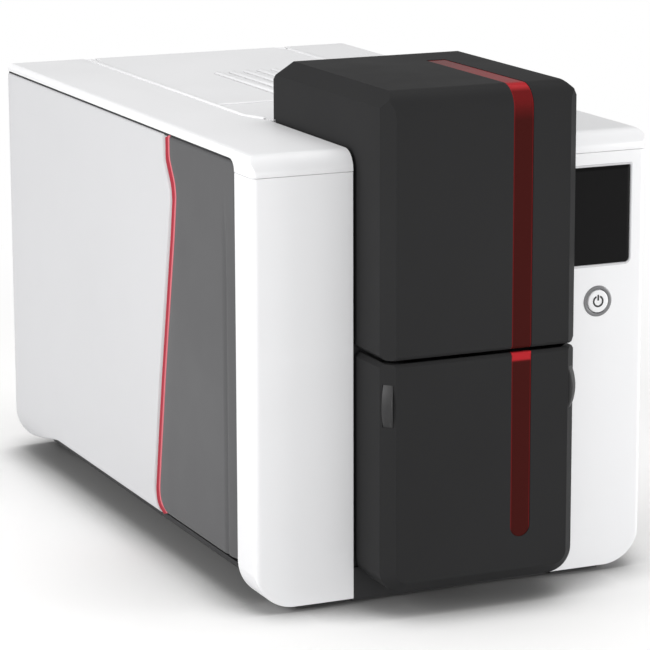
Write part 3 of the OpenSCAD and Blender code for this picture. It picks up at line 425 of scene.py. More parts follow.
finishes = dict(
    white_shell=mouldedPlastic("satinWhite", tones["white"], 0.42, 0.4, 0.06, 0.008),
    grey_shell=mouldedPlastic("satinLightGrey", tones["light"], 0.44, 0.45, 0.10, 0.012),
    slate_shell=mouldedPlastic("satinSlate", tones["slate"], 0.42, 0.45, 0.16, 0.03, Specular_IOR_Level=0.2),
    dark_shell=mouldedPlastic("satinBlack", tones["dark"], 0.40, 0.38, 0.14, 0.05, Specular_IOR_Level=0.015),
    dark_inner=mouldedPlastic("innerBlack", tones["inner"], 0.55, 0.6, 0.25, 0.08),
    base=mouldedPlastic("baseBlack", tones["base"], 0.6, 0.6, 0.3, 0.08),
    rubber=softRubber("blackRubber", tones["rubber"], 0.78),
    steel=brushedMetal("platedSteel", tones["steel"], 0.30, 0),
    aluminium=brushedMetal("extrudedAluminium", tones["aluminium"], 0.34, 0),
    red_trim=tintedPlastic("redTrim", tones["red"], tones["redPaintedHighlight"], 0.3),
    red_window=tintedPlastic("smokedRed", tones["windowDark"], tones["windowPaintedHighlight"], 0.12),
    screen=coverGlass("displayGlass", tones["glass"], tones["glassCell"]),
    grey_ring=mouldedPlastic("ringGrey", tones["ring"], 0.3, 0.3, 0.05, 0.03, Metallic=0.55),
    mark=mouldedPlastic("printedMark", tones["mark"], 0.5, 0.2, 0.05, 0.05),
    cards=mouldedPlastic("blankCard", tones["card"], 0.22, 0.3, 0.02, 0.01, Coat_Weight=0.3),
    grip=softRubber("softGrip", tones["grip"], 0.55),
    cleaning=softRubber("tackySleeve", tones["cleaning"], 0.3),
    motor=mouldedPlastic("motorLacquer", tones["motor"], 0.38, 0.5, 0.2, 0.06),
    ribbon=printerRibbon("ribbonFilm"),
    board=circuitBoard("greenBoard"),
    chips=mouldedPlastic("chipBlack", tones["chip"], 0.5, 0.25, 0.2, 0.15),
    socket=brushedMetal("socketShell", tones["socket"], 0.36, 1),
)
print("finishes made:", len(finishes))


# every CAD node gets the finish of its slot

slotOf = {part["node"]: part["material_slot"] for part in frame["record"]["subparts"]}
for nodeName, cadNode in frame["nodes"].items():
    cadNode.data.materials.clear()
    cadNode.data.materials.append(finishes[slotOf[nodeName]])
print("CAD nodes dressed")


# body shell

lip = dict(above=207.0, reach=0.32)


def closeLip(corners):
    # the front mouldings reach up to the lip of the top cover, so the seam is a hairline
    raised = corners.copy()
    raised[raised[:, 2] > lip["above"] / 1000, 2] += lip["reach"] / 1000
    return raised


shellEdges = dict(fascia_left=0.3, fascia_right=0.3, top_cover=0.5, hood=0.5, rear_cover=0.6,
                  feeder_cover=0.7, hopper_cover=0.7)  # widths of the rounded edges
for nodeName, edgeWidth in shellEdges.items():
    softened(nodeName, edgeWidth, slotOf[nodeName], closeLip if nodeName.startswith("fascia") else None)
print("shell mouldings rounded")


# raised rims of the hood: along its side seams, behind its cross line, and over the right part of
# each vent, from ventFrom beside the vent's middle

rims = dict(base=218.0, sink=0.4, seamWide=2.9, seamHigh=0.85, lineWide=1.7, lineHigh=0.55,
            left=[(-58.4, 336.6), (-58.4, 117.4), (-53.0, 103.6)],
            right=[(63.2, 336.6), (63.2, 117.4), (58.0, 103.6)],
            line=[(60.6, 155.5), (-55.6, 155.5)], taper=0.8,
            ventCount=5, ventMiddle=3.1, ventPitch=8.25, ventFrom=-0.5, ventWide=3.6, ventHigh=0.9,
            ventRear=262.8, ventFront=167.2)
rimSection = np.array([(0, -1), (0, 0), (0.1, 0.45), (0.22, 0.78), (0.38, 0.96), (0.52, 1), (0.68, 0.84),
                       (0.84, 0.4), (1, 0), (1, -1)])


def rimAlong(path, wide, high, toRight):
    # section (share of width, share of height) carried along a level path; at a bend it leans
    # along the sum of the two normals over 1 + their product, which keeps the width,
    # and over the last stretch of each end (taper) it sinks to a tenth of its height
    path = np.array(path, float)
    run = np.diff(path, axis=0)
    run /= np.linalg.norm(run, axis=1)[:, None]
    normals = toRight * np.stack([run[:, 1], -run[:, 0]], -1)
    bends = (normals[:-1] + normals[1:]) / (1 + (normals[:-1] * normals[1:]).sum(1))[:, None]
    across = np.vstack([normals[:1], bends, normals[-1:]])
    ends = np.concatenate([[0.1], np.ones(len(path)), [0.1]])
    near = [path[0] + run[0] * rims["taper"], path[-1] - run[-1] * rims["taper"]]
    across = np.insert(across, [1, len(path) - 1], [across[0], across[-1]], axis=0)
    path = np.insert(path, [1, len(path) - 1], near, axis=0)
    flat = path[:, None] + across[:, None] * rimSection[None, :, :1] * wide
    level = np.where(rimSection[:, 1] < 0, -rims["sink"], rimSection[:, 1] * high)
    z = rims["base"] + np.where(level < 0, level, level * ends[:, None])
    return ringSolid(np.dstack([flat, z]))


rimParts = [rimAlong(rims["left"], rims["seamWide"], rims["seamHigh"], -1),
            rimAlong(rims["right"], rims["seamWide"], rims["seamHigh"], 1),
            rimAlong(rims["line"], rims["lineWide"], rims["lineHigh"], 1)]
for number in range(rims["ventCount"]):
    fromMiddle = number - (rims["ventCount"] - 1) / 2
    ventEdge = rims["ventMiddle"] + fromMiddle * rims["ventPitch"] + rims["ventFrom"]
    ventRun = [(ventEdge, rims["ventRear"]), (ventEdge, rims["ventFront"])]
    rimParts.append(rimAlong(ventRun, rims["ventWide"], rims["ventHigh"], -1))
addPiece("hood_rims", *joinMeshes(rimParts), frame["nodes"]["hood"]["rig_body"], "white_shell", 60)
print("hood rims raised")


# side panels, in two tones round the kinked trim: groove, border, rebate and most are depths,
# tail is the slope of the lower edge at the rear, bead is the run of its section along y and z

side = dict(outside=102.5, darkWall=2.5, lightWall=2.9, low=19.5, top=212.7, front=21.9, rear=350.0,
            lowCorner=20.0, lowCornerTop=22.8, eaveCorner=5.4, rearRadius=3.0, tailFrom=280.0, tailLow=5.6,
            edge=1.1, most=2.0, groove=1.1, grooveAt=34.6, grooveHalf=1.5, grooveFade=(150, 200),
            border=1.9, borderFrom=20, borderWide=17.5, rebate=1.9, rebateFade=(1.0, 2.4),
            bead=(6.4, -2.2), seamBack=2.6, seamLow=21.2,
            line=[(114.0, 21.2), (121.5, 23), (125.2, 27), (126, 32), (122, 56), (116, 91), (108, 131),
                  (101.4, 164), (98.3, 184), (99.4, 190.7), (106.5, 202.5), (106.5, 230)],
            postReach=63.5, darkPosts=[(40, 30), (60, 180)],
            lightPosts=[(150, 30), (150, 180), (322, 30), (322, 180)])
seamY, seamZ = np.array(side["line"]).T


def seamAt(z):
    # y of the kinked line at height z, its corners eased over 3 mm
    offsets = np.linspace(-1.5, 1.5, 7)
    heights = np.clip(np.asarray(z, float)[..., None] + offsets, side["seamLow"], None)
    return np.interp(heights, seamZ, seamY).mean(-1) - side["seamBack"]


def lowerRound(z):
    # how far the outside falls back towards the rounded lower edge
    return cornerDrop(z - side["lowCornerTop"] + side["lowCorner"], side["lowCorner"])


def bothSides(rings):
    # a loft on the right and its mirror image on the left, as one mesh
    return joinMeshes([ringSolid(rings), ringSolid(mirrored(rings))])


def edgeSpacing(reach, steps=6):
    # distances from an edge, close together in its rounding
    return reach * (1 - np.cos(np.linspace(0, math.pi / 2, steps)))


def panelPosts(places):
    # posts from the steel plate to the panel
    posts = []
    for y, z in places:
        rings = latheRings([(3.4, side["postReach"]), (4, side["postReach"] + 0.5),
                            (4, side["outside"] - side["darkWall"] + 0.1)], (0, y, z), "x", 24)
        posts.append(ringSolid(rings))
    return posts


ease = edgeSpacing(side["edge"])
cornerFrom = side["top"] - side["eaveCorner"]
heights = np.concatenate([side["seamLow"] + ease, np.linspace(23.4, 206.8, 74),
                          cornerFrom + np.linspace(0, 4.3, 7), side["top"] - ease[::-1]])
drop = np.clip(heights - cornerFrom, 0, side["eaveCorner"])
frontEdge = side["front"] + side["eaveCorner"] - np.sqrt(np.maximum(side["eaveCorner"] ** 2 - drop ** 2, 0))
rearEdge = seamAt(heights)
span = rearEdge - frontEdge - side["borderWide"] - side["edge"]
columns = [frontEdge + d for d in np.concatenate([ease, np.linspace(2.4, side["borderWide"], 32)])]
columns += [frontEdge + side["borderWide"] + span * t for t in np.linspace(0, 1, 9)[1:]]
columns += [rearEdge - d for d in ease[::-1][1:]]
y = np.stack(columns, 1)
z = np.repeat(heights[:, None], y.shape[1], 1)
# depth: quarter rounds along the four edges, and fading out towards the top a bell-shaped groove
# and a chamfer from it to the front edge
inset = (cornerDrop(y - frontEdge[:, None], side["edge"]) + cornerDrop(rearEdge[:, None] - y, side["edge"])
         + cornerDrop(z - side["seamLow"], side["edge"]) + cornerDrop(side["top"] - z, side["edge"]))
frontBorder = (side["groove"] * np.exp(-((y - side["grooveAt"]) / side["grooveHalf"]) ** 2)
               + side["border"] * (1 - smoothStep(side["borderFrom"], side["grooveAt"], y)))
inset = np.minimum(inset + (1 - smoothStep(*side["grooveFade"], z)) * frontBorder, side["most"])
skin = side["outside"] - lowerRound(z)
outer = np.stack([skin - inset, y, z], -1)
inner = np.stack([skin - side["darkWall"], y, z], -1)
darkPanel = joinMeshes([shellFromGrid(outer, inner)] + panelPosts(side["darkPosts"]))

upright = np.concatenate([side["low"] + ease, np.linspace(21.6, 210.6, 70), side["top"] - ease[::-1]])
seamEdge = seamAt(upright - side["bead"][1]) + side["bead"][0]
rearRun = side["rear"] - side["rearRadius"] * (1 - np.sin(np.linspace(0, math.pi / 2, 7)))
share = np.concatenate([ease, [1.35, 1.6, 1.9, 2.2, 2.6, 3.1], np.linspace(5.0, 224.0, 56)])
y = seamEdge[:, None] + (side["rear"] - side["rearRadius"] - seamEdge)[:, None] * share / share[-1]
y = np.hstack([y, np.repeat(rearRun[None, 1:], len(upright), 0)])
lowEdge = np.where(y > side["tailFrom"], side["low"] + (side["tailLow"] - side["low"])
                   * (y - side["tailFrom"]) / (side["rear"] - side["tailFrom"]), side["low"])
rise = (upright[:, None] - side["low"]) / (side["top"] - side["low"])
z = lowEdge + rise * (side["top"] - lowEdge)
skin = side["outside"] - lowerRound(z)
# depth: a rebate beside the bead, and quarter rounds along the other edges
inset = np.minimum(side["rebate"] * (1 - smoothStep(*side["rebateFade"], y - seamEdge[:, None]))
                   + cornerDrop(z - lowEdge, side["edge"]) + cornerDrop(side["top"] - z, side["edge"]),
                   side["most"])
outer = np.stack([skin - cornerDrop(side["rear"] - y, side["rearRadius"]) - inset, y, z], -1)
inner = np.stack([skin - side["lightWall"], np.minimum(y, side["rear"] - 0.3), z], -1)
lightPanel = joinMeshes([shellFromGrid(outer, inner)] + panelPosts(side["lightPosts"]))

for hand, placed in (("right", np.array), ("left", mirrored)):
    for kind, (points, faces), slotName in (("side_front_", darkPanel, "slate_shell"),
                                            ("side_panel_", lightPanel, "grey_shell")):
        addPiece(kind + hand + "_moulding", placed(points), faces, "chassis", slotName, 40,
                 (kind + hand,))

# bead: its section (share across, depth) is carried down the kinked line; its front share is painted with a
# pink highlight over the crest, and the rest keeps its red
beadSection = np.array([(0.0, 1.3), (0.01, 0.75), (0.03, 0.35), (0.08, 0.08), (0.16, 0.0), (0.26, 0.03),
                        (0.34, 0.14), (0.44, 0.16), (0.6, 0.16), (0.76, 0.18), (0.86, 0.3), (0.92, 0.7),
                        (0.96, 1.3), (1.0, 1.95), (1.0, 2.5), (0.0, 2.5)])
beadPath = np.concatenate([np.linspace(side["top"] + 0.6, 34, 90), np.linspace(33, 21.4, 26)])
beadY = seamAt(beadPath)[:, None] + side["bead"][0] * beadSection[:, 0]
beadZ = np.maximum(beadPath[:, None] + side["bead"][1] * beadSection[:, 0], side["low"])
beadX = side["outside"] - beadSection[:, 1] - lowerRound(beadZ)
trimBead = addPiece("side_trims_bead", *bothSides(np.stack([beadX, beadY, beadZ], -1)),
                    "chassis", "red_trim", 60, ("side_trims",))
setPaintedLight(trimBead, lambda local: 1 - smoothStep(0.7, 1.2, local[:, 1] - seamAt(local[:, 2])))

# black strips in the gap between the panels and the eaves of the top cover, as painted shade for that gap:
# a section in x and z carried along y, whose ends fall back by back
gapShade = dict(x=[99.8, 101.3, 101.6, 101.6, 101.3, 99.8], z=[212.1, 212.1, 212.4, 213.1, 213.4, 213.4],
            y=[27.6, 28.0, 120.0, 240.0, 348.6, 349.0], back=[0.3, 0, 0, 0, 0, 0.3])
gapShadeZ, gapShadeY = np.meshgrid(gapShade["z"], gapShade["y"])
gapShadeX = np.array(gapShade["x"]) - np.array(gapShade["back"])[:, None]
addPiece("eave_gap_shade", *bothSides(np.stack([gapShadeX, gapShadeY, gapShadeZ], -1)), "chassis", "rubber", 40)
print("side panels and trims made")


# screen and power button

# screen: frame and glass follow one outline, rows of the profiles are (inset, y)
screen = dict(middle=(77.1, 177.3), frameSize=(36.0, 49.8), radii=(3.5, 3.5, 1.8, 1.8),
              frame=[(0, 5), (0, 0.1), (0.05, -0.12), (0.2, -0.26), (0.4, -0.3), (0.75, -0.28), (1.0, -0.15),
                     (1.12, 0.05), (1.17, 0.3), (1.17, 5)],
              glass=[(1.2, 2.2), (1.2, 0.3), (1.26, 0.16), (1.4, 0.1), (3.2, 0.1)],
              blockLow=(63.1, 156.3), blockHigh=(91.1, 198.3), block=[(0, 2.1), (0, 5)])
frameLow = np.array(screen["middle"]) - np.array(screen["frameSize"]) / 2
frameHigh = np.array(screen["middle"]) + np.array(screen["frameSize"]) / 2


def frameOutline(inset):
    return roundedRect(frameLow, frameHigh, screen["radii"], inset)


def blockOutline(inset):
    # block of the display behind the glass
    return roundedRect(screen["blockLow"], screen["blockHigh"], (0.5,) * 4, inset)


addRings("screen_frame", plateRings(frameOutline, screen["frame"]), "chassis", "grey_shell",
         closed=True, sharp=50, replaces=("screen_bezel",))
glass = ringSolid(plateRings(frameOutline, screen["glass"]))
block = ringSolid(plateRings(blockOutline, screen["block"]))
addPiece("screen_glass", *joinMeshes([glass, block]), "chassis", "screen", 50, ("touchscreen",))

# button: rows of the profiles are (radius, y); the symbol is an arc open at the top and a short bar
button = dict(x=77.1, z=135.5,
              ring=[(7.6, 2.6), (7.6, 0.0), (7.55, -0.12), (7.42, -0.2), (6.3, -0.2), (6.05, -0.12),
                    (5.9, 0.12), (5.87, 2.6)],
              cap=[(0, 3.9), (6.75, 3.9), (6.75, 2.9), (5.55, 2.9), (5.55, -0.2), (5.48, -0.42),
                   (5.25, -0.6), (4.9, -0.68), (4.0, -0.7), (2.0, -0.66), (0, -0.64)],
              arcAcross=[2.05, 2.12, 2.475, 2.83, 2.9], arcGap=24, barAcross=[-0.42, -0.36, 0, 0.36, 0.42],
              bar=(0.4, 3.2), crown=[-0.78, -0.83, -0.85, -0.83, -0.78], symbolFoot=-0.6)
buttonAt = (button["x"], 0, button["z"])
addRings("button_surround", latheRings(button["ring"], buttonAt, "y", 72), "chassis", "grey_ring",
         closed=True, sharp=50, replaces=("button_ring",))
addRings("button_cap", latheRings(button["cap"], buttonAt, "y", 72), "power_button", "white_shell",
         sharp=50, replaces=("power_button",))


def symbolStroke(x, z):
    # grids x and z from the button's middle, crowned across -> a closed stroke
    outer = np.stack([button["x"] + x, np.broadcast_to(button["crown"], x.shape), button["z"] + z], -1)
    inner = outer.copy()
    inner[..., 1] = button["symbolFoot"]
    return shellFromGrid(outer, inner)


arc = np.radians(np.linspace(90 + button["arcGap"], 450 - button["arcGap"], 60))[:, None]
band = np.array(button["arcAcross"])
barX, barZ = np.meshgrid(button["barAcross"], np.linspace(*button["bar"], 8))
arcStroke = symbolStroke(band * np.cos(arc), band * np.sin(arc))
addPiece("button_symbol", *joinMeshes([arcStroke, symbolStroke(barX, barZ)]), "power_button", "mark", 60,
         ("button_mark",))
print("screen and button made")


# red window strips and finger grips

strip = dict(low=14.9, high=25.2, face=-30.75, back=-28.4, roof=247.75, radius=10.75, foot=124.1,
             end=62.0, hopperTop=122.3, hopperLow=33.0, rim=0.35)
stripX = np.concatenate([strip["low"] + edgeSpacing(strip["rim"], 4), [15.6, 16.2, 17.5],
                         [20.05], [22.6, 23.9, 24.5], strip["high"] - edgeSpacing(strip["rim"], 4)[::-1]])
arcTurn = np.linspace(0, math.pi / 2, 15)
runUp = np.linspace(strip["foot"] + 1.4, strip["roof"] - strip["radius"], 22)[:-1]
runBack = np.linspace(strip["face"] + strip["radius"], strip["end"], 12)[1:]
footY = np.array([strip["face"] + 1.2, strip["face"] + 0.15])
stripY = np.concatenate([footY, np.full(len(runUp), strip["face"]),
                         strip["face"] + strip["radius"] * (1 - np.cos(arcTurn)), runBack])
stripZ = np.concatenate([[strip["foot"], strip["foot"] + 1.2], runUp,
                         strip["roof"] - strip["radius"] * (1 - np.sin(arcTurn)),
                         np.full(len(runBack), strip["roof"])])
outY = np.concatenate([[-0.8, -1], np.full(len(runUp), -1.0), -np.cos(arcTurn), np.zeros(len(runBack))])
outZ = np.concatenate([[-0.6, 0], np.zeros(len(runUp)), np.sin(arcTurn), np.ones(len(runBack))])
thick = strip["back"] - strip["face"]
sink = cornerDrop(np.minimum(stripX - strip["low"], strip["high"] - stripX), strip["rim"])


def stripGrid(depth):
    # the strip's path pushed inwards by depth, which may vary across the strip
    depth = np.broadcast_to(depth, (len(stripY), len(stripX)))
    return np.stack([np.broadcast_to(stripX, depth.shape), stripY[:, None] - outY[:, None] * depth,
                     np.maximum(stripZ[:, None] - outZ[:, None] * depth, strip["foot"])], -1)


def windowPaintedLight(local):
    # painted highlights: lit rims, a bright fold over the front edge limited along the roof, and a lit band
    # at the top of the lower strip
    fromRim = np.minimum(local[:, 0] - strip["low"], strip["high"] - local[:, 0])
    edges = 0.32 * (1 - smoothStep(0.3, 0.75, fromRim))
    fold = (0.70 * smoothStep(strip["roof"] - 3.2, strip["roof"] - 1.2, local[:, 2])
            + 0.22 * smoothStep(strip["roof"] - 16, strip["roof"] - 6, local[:, 2]))
    roof = 0.50 * (1 - smoothStep(-23, -18, local[:, 1])) + 0.42 - 0.22 * smoothStep(0, 60, local[:, 1])
    lowerTop = (0.95 * smoothStep(strip["hopperTop"] - 4.6, strip["hopperTop"] - 3.2, local[:, 2])
                * (local[:, 2] < strip["hopperTop"] + 0.5))
    return edges + np.minimum(fold, roof) * (local[:, 2] > strip["foot"]) + lowerTop


upperStrip = addPiece("feeder_window_strip", *shellFromGrid(stripGrid(sink), stripGrid(thick)),
                      "feeder_cover", "red_window", 50, ("feeder_window",))
setPaintedLight(upperStrip, windowPaintedLight)

half = (strip["high"] - strip["low"]) / 2
lowCentre = strip["hopperLow"] + half
lowTurn = np.linspace(math.radians(4), math.pi / 2, 12)
lowerZ = np.concatenate([lowCentre - half * np.cos(lowTurn),
                         np.linspace(lowCentre + 2, strip["hopperTop"] - 5, 16),
                         strip["hopperTop"] - np.array([4.4, 3.9, 3.4, 2.6, 1.8, 1.0, 0.35, 0.15, 0])])
halfWide = np.where(lowerZ < lowCentre, np.sqrt(np.maximum(half ** 2 - (lowCentre - lowerZ) ** 2, 0)), half)
share = (stripX - strip["low"] - half) / half
lowerX = strip["low"] + half + halfWide[:, None] * share
lowerZs = np.repeat(lowerZ[:, None], len(stripX), 1)
rimDistance = np.minimum(halfWide[:, None] - np.abs(lowerX - strip["low"] - half),
                         strip["hopperTop"] - lowerZs)
lowerOuter = np.stack([lowerX, strip["face"] + cornerDrop(rimDistance, strip["rim"]), lowerZs], -1)
lowerInner = lowerOuter.copy()
lowerInner[..., 1] = strip["back"]
lowerStrip = addPiece("hopper_window_strip", *shellFromGrid(lowerOuter, lowerInner),
                      "hopper_cover", "red_window", 50, ("hopper_window",))
setPaintedLight(lowerStrip, windowPaintedLight)

# grips: an upright slice of a disc standing out of each bevel
grip = dict(x=47.5, y=-28.1, z=102.5, disc=25.0, out=2.0, half=2.6, reach=12.0, edge=0.7, sunk=1.4,
            turn=math.atan2(5.8, 5.7))
gripEase = edgeSpacing(grip["edge"], 5)
gripS = np.concatenate([-grip["half"] + gripEase, [0.0], grip["half"] - gripEase[::-1]])
gripZ = np.linspace(-grip["reach"], grip["reach"], 41)
stand = grip["out"] - (grip["disc"] - np.sqrt(grip["disc"] ** 2 - gripZ ** 2))
gripDrop = cornerDrop(np.minimum(gripS + grip["half"], grip["half"] - gripS), grip["edge"])


def gripPoints(height):
    # height over the bevel -> points; along the bevel is (cos, sin) of turn, outwards (sin, -cos)
    cosine, sine = math.cos(grip["turn"]), math.sin(grip["turn"])
    gx = grip["x"] + gripS * cosine + height * sine
    gy = grip["y"] + gripS * sine - height * cosine
    return np.stack([gx, gy, np.broadcast_to(grip["z"] + gripZ[:, None], gx.shape)], -1)


gripSkin = stand[:, None] - gripDrop
rightGrip = shellFromGrid(gripPoints(gripSkin), gripPoints(np.full(gripSkin.shape, -grip["sunk"])))
leftGrip = (mirrored(rightGrip[0]), rightGrip[1])
addPiece("hopper_grip_pads", *joinMeshes([rightGrip, leftGrip]), "hopper_cover", "grip", 50,
         ("hopper_grips",))
print("windows and grips made")


# feet, rollers and ribbon spools

foot = dict(places=[(-66, 24), (-66, 326), (66, 24), (66, 326)],
            profile=[(0, 0.25), (5.6, 0.25), (6.0, 0.0), (8.3, 0.0), (8.8, 0.25), (9.0, 0.8), (9.0, 1.6),
                     (9.1, 1.65), (9.1, 2.2), (0, 2.2)])
feet = [ringSolid(latheRings(foot["profile"], (footX, footY, 0), "z", 56)) for footX, footY in foot["places"]]
addPiece("rubber_feet_turned", *joinMeshes(feet), "chassis", "rubber", 45, ("rubber_feet",))

rollers = dict(feed_roller=(52, 8, 5.7), front_roller=(118, 24, 6), platen_roller=(156, 29, 6),
               rear_roller=(205, 24, 6), exit_roller=(300, 24, 6))  # y, half length, radius
rollerZ = 126
for rollerName, (rollerY, halfLength, radius) in rollers.items():
    # sleeve: rows of (radius, x), with small rounds at both ends of its outside
    sleeve = [(3.4, -halfLength), (radius - 0.35, -halfLength), (radius - 0.08, -halfLength + 0.12),
              (radius, -halfLength + 0.4), (radius, halfLength - 0.4), (radius - 0.08, halfLength - 0.12),
              (radius - 0.35, halfLength), (3.4, halfLength)]
    if rollerName == "feed_roller":
        # ribbed: eight shallow rounds, 0.2 mm deep
        groove = np.linspace(-halfLength + 0.8, halfLength - 0.8, 57)
        ribs = radius - 0.2 * (1 - np.abs(np.cos(np.linspace(0, 8 * math.pi, 57))))
        sleeve = sleeve[:3] + [(r, h) for r, h in zip(ribs, groove)] + sleeve[-3:]
    addRings(rollerName + "_sleeve", latheRings(sleeve, (0, rollerY, rollerZ), "x", 64),
             frame["nodes"][rollerName]["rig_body"], "rubber", closed=True, sharp=45,
             replaces=(rollerName,))

spools = dict(supply_spool=(205, 15.0), takeup_spool=(118, 9.0))  # y, radius of the winding
spoolZ = 170
for spoolName, (spoolY, wound) in spools.items():
    # winding: the ends step in and out by 0.1 mm from turn to turn, the outside sags 0.05 mm
    turns = np.linspace(6.0, wound, int((wound - 6) * 5))
    uneven = 27.5 - 0.12 * (0.5 + 0.5 * np.sin(turns * 23.0)) * smoothStep(6, 6.6, turns)
    along = np.linspace(-27.2, 27.2, 40)
    outside = wound - 0.05 * (1 - np.cos(along * 0.9)) * 0.5
    profile = ([(3.05, -30.5), (5.7, -30.5), (6, -30.2), (6, -27.5)] + list(zip(turns, -uneven))
               + list(zip(outside, along)) + list(zip(turns[::-1], uneven[::-1]))
               + [(6, 27.5), (6, 30.2), (5.7, 30.5), (3.05, 30.5), (3.05, 25.5), (2.4, 25.5), (2.4, -25.5),
                  (3.05, -25.5)])
    addRings(spoolName + "_wound", latheRings(profile, (0, spoolY, spoolZ), "x", 72),
             frame["nodes"][spoolName]["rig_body"], "ribbon", closed=True, sharp=40,
             replaces=(spoolName,))
print("feet, rollers and spools made")


# camera, lights and floor

cameraSetup = dict(place=(-0.6506, -1.4709, 0.4562), heading=-24.007, tilt=77.468, roll=-0.184,
                   lens=175.84, sensor=36.0)
lens = bpy.data.cameras.new("studioLens")
lens.sensor_width, lens.lens = cameraSetup["sensor"], cameraSetup["lens"]
lens.clip_start, lens.clip_end = 0.05, 60
camera = bpy.data.objects.new("studioCamera", lens)
camera.matrix_world = (Matrix.Translation(cameraSetup["place"])
                       @ Matrix.Rotation(math.radians(cameraSetup["heading"]), 4, "Z")
                       @ Matrix.Rotation(math.radians(cameraSetup["tilt"]), 4, "X")
                       @ Matrix.Rotation(math.radians(cameraSetup["roll"]), 4, "Z"))
bpy.context.scene.collection.objects.link(camera)
bpy.context.scene.camera = camera
bpy.context.scene.view_settings.view_transform = "Standard"

softLights = dict(
    overhead=dict(place=(0.20, 0.15, 1.50), aim=(0, 0, 0.10), size=(1.4, 1.4), power=10.5),
    left=dict(place=(-1.40, -0.15, 0.62), aim=(0, 0.02, 0.14), size=(1.1, 0.8), power=14.5),
    front=dict(place=(-0.35, -1.80, 0.45), aim=(-0.02, -0.16, 0.12), size=(1.2, 0.6), power=8.2),
    right=dict(place=(1.35, -0.80, 0.30), aim=(0.08, -0.16, 0.12), size=(0.9, 0.5), power=12.0),
)
for lightName, light in softLights.items():
    data = bpy.data.lights.new(lightName, "AREA")
    data.shape = "RECTANGLE"
    data.size, data.size_y = light["size"]
    data.energy = light["power"]
    lamp = bpy.data.objects.new(lightName, data)
    away = np.array(light["place"]) - np.array(light["aim"])
    back = away / np.linalg.norm(away)
    across = np.cross((0, 0, 1), back)
    across /= np.linalg.norm(across)
    up = np.cross(back, across)
    rows = [[across[i], up[i], back[i], light["place"][i]] for i in range(3)]
    lamp.matrix_world = Matrix(rows + [[0, 0, 0, 1]])
    bpy.context.scene.collection.objects.link(lamp)

sky = dict(room=0.40, seen=1.0)  # strength on the object, and where the camera sees past the floor
world = bpy.data.worlds.new("paleStudio")
bpy.context.scene.world = world
world.use_nodes = True
skyTree = world.node_tree
skyTree.nodes.clear()
roomLight = addNode(skyTree, "ShaderNodeBackground", {"Color": (1, 1, 1, 1), "Strength": sky["room"]})
seenWhite = addNode(skyTree, "ShaderNodeBackground", {"Color": (1, 1, 1, 1), "Strength": sky["seen"]})
rayKind = addNode(skyTree, "ShaderNodeLightPath")
skyMix = addNode(skyTree, "ShaderNodeMixShader")
skyOut = addNode(skyTree, "ShaderNodeOutputWorld")
for source, target in ((rayKind.outputs["Is Camera Ray"], skyMix.inputs["Fac"]),
                       (roomLight.outputs["Background"], skyMix.inputs[1]),
                       (seenWhite.outputs["Background"], skyMix.inputs[2]),
                       (skyMix.outputs["Shader"], skyOut.inputs["Surface"])):
    skyTree.links.new(source, target)

# floor: rings round the origin; the camera sees a white that fades into the background,
# with a painted contact shadow (ambient occlusion) where the object stands close, and everything else a plain
# pale grey
floorSetup = dict(radius=3.0, sides=96, colour=(0.80, 0.80, 0.80), seen=(1.0, 0.995, 0.99),
                  fadeFrom=0.30, fadeTo=0.75, contactReach=0.035, darkAt=0.35, openAt=0.97, darkest=0.3)
turn = np.linspace(0, 2 * math.pi, floorSetup["sides"], endpoint=False)
reach = np.concatenate([[0.002], np.linspace(0.2, floorSetup["radius"], 9)])[:, None]
floorRings = np.stack([reach * np.cos(turn), reach * np.sin(turn), 0 * reach * turn], -1)
floorQuads = gridQuads(len(reach), floorSetup["sides"], False, True).tolist()
floorMesh = bpy.data.meshes.new("studioFloor")
floorMesh.from_pydata(floorRings.reshape(-1, 3).tolist(), [],
                      floorQuads + [list(range(floorSetup["sides"]))])
studioFloor = bpy.data.objects.new("studioFloor", floorMesh)
bpy.context.scene.collection.objects.link(studioFloor)
floorFinish, floorTree, floorShader = startFinish("paleFloor", floorSetup["colour"], 0.9,
                                                  Specular_IOR_Level=0.1)
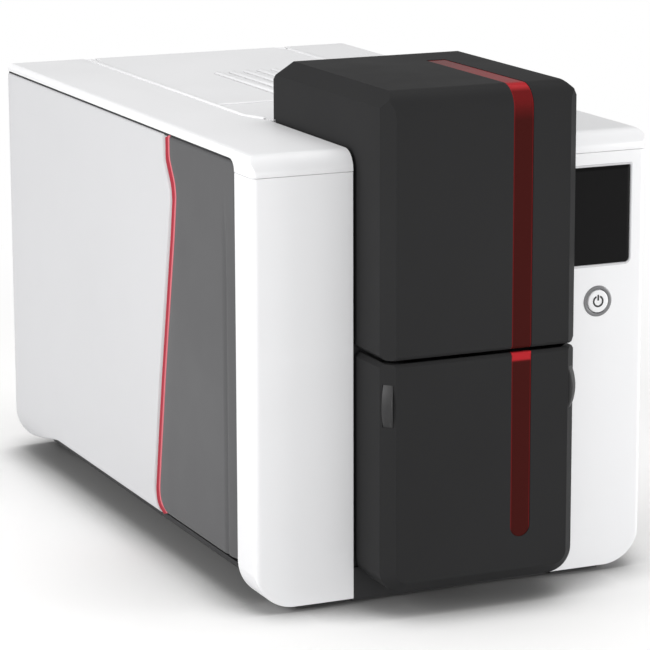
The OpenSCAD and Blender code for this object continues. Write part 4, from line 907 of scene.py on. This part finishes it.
floorOut = floorTree.nodes["Material Output"]
rays = addNode(floorTree, "ShaderNodeLightPath")
seenFloor = addNode(floorTree, "ShaderNodeBsdfDiffuse")
# painted contact shadow: ambient occlusion darkens the floor colour that the camera sees
contact = addNode(floorTree, "ShaderNodeAmbientOcclusion", {"Distance": floorSetup["contactReach"]},
                  samples=16)
depth = addNode(floorTree, "ShaderNodeMapRange", {"From Min": floorSetup["darkAt"],
                                                  "From Max": floorSetup["openAt"],
                                                  "To Min": floorSetup["darkest"]},
                interpolation_type="SMOOTHSTEP")
shaded = addNode(floorTree, "ShaderNodeVectorMath", operation="SCALE")
shaded.inputs[0].default_value = floorSetup["seen"]
farWhite = addNode(floorTree, "ShaderNodeEmission", {"Color": (1, 1, 1, 1), "Strength": 1.0})
middle = addNode(floorTree, "ShaderNodeTexCoord")
distance = addNode(floorTree, "ShaderNodeVectorMath", operation="LENGTH")
fade = addNode(floorTree, "ShaderNodeMapRange", {"From Min": floorSetup["fadeFrom"],
                                                 "From Max": floorSetup["fadeTo"]},
               interpolation_type="SMOOTHSTEP")
nearFar = addNode(floorTree, "ShaderNodeMixShader")
byRay = addNode(floorTree, "ShaderNodeMixShader")
for source, target in ((contact.outputs["AO"], depth.inputs["Value"]),
                       (depth.outputs["Result"], shaded.inputs["Scale"]),
                       (shaded.outputs["Vector"], seenFloor.inputs["Color"]),
                       (middle.outputs["Object"], distance.inputs[0]),
                       (distance.outputs["Value"], fade.inputs["Value"]),
                       (fade.outputs["Result"], nearFar.inputs["Fac"]),
                       (seenFloor.outputs["BSDF"], nearFar.inputs[1]),
                       (farWhite.outputs["Emission"], nearFar.inputs[2]),
                       (rays.outputs["Is Camera Ray"], byRay.inputs["Fac"]),
                       (floorShader.outputs["BSDF"], byRay.inputs[1]),
                       (nearFar.outputs["Shader"], byRay.inputs[2]),
                       (byRay.outputs["Shader"], floorOut.inputs["Surface"])):
    floorTree.links.new(source, target)
floorMesh.materials.append(floorFinish)
print("camera, lights and floor set")
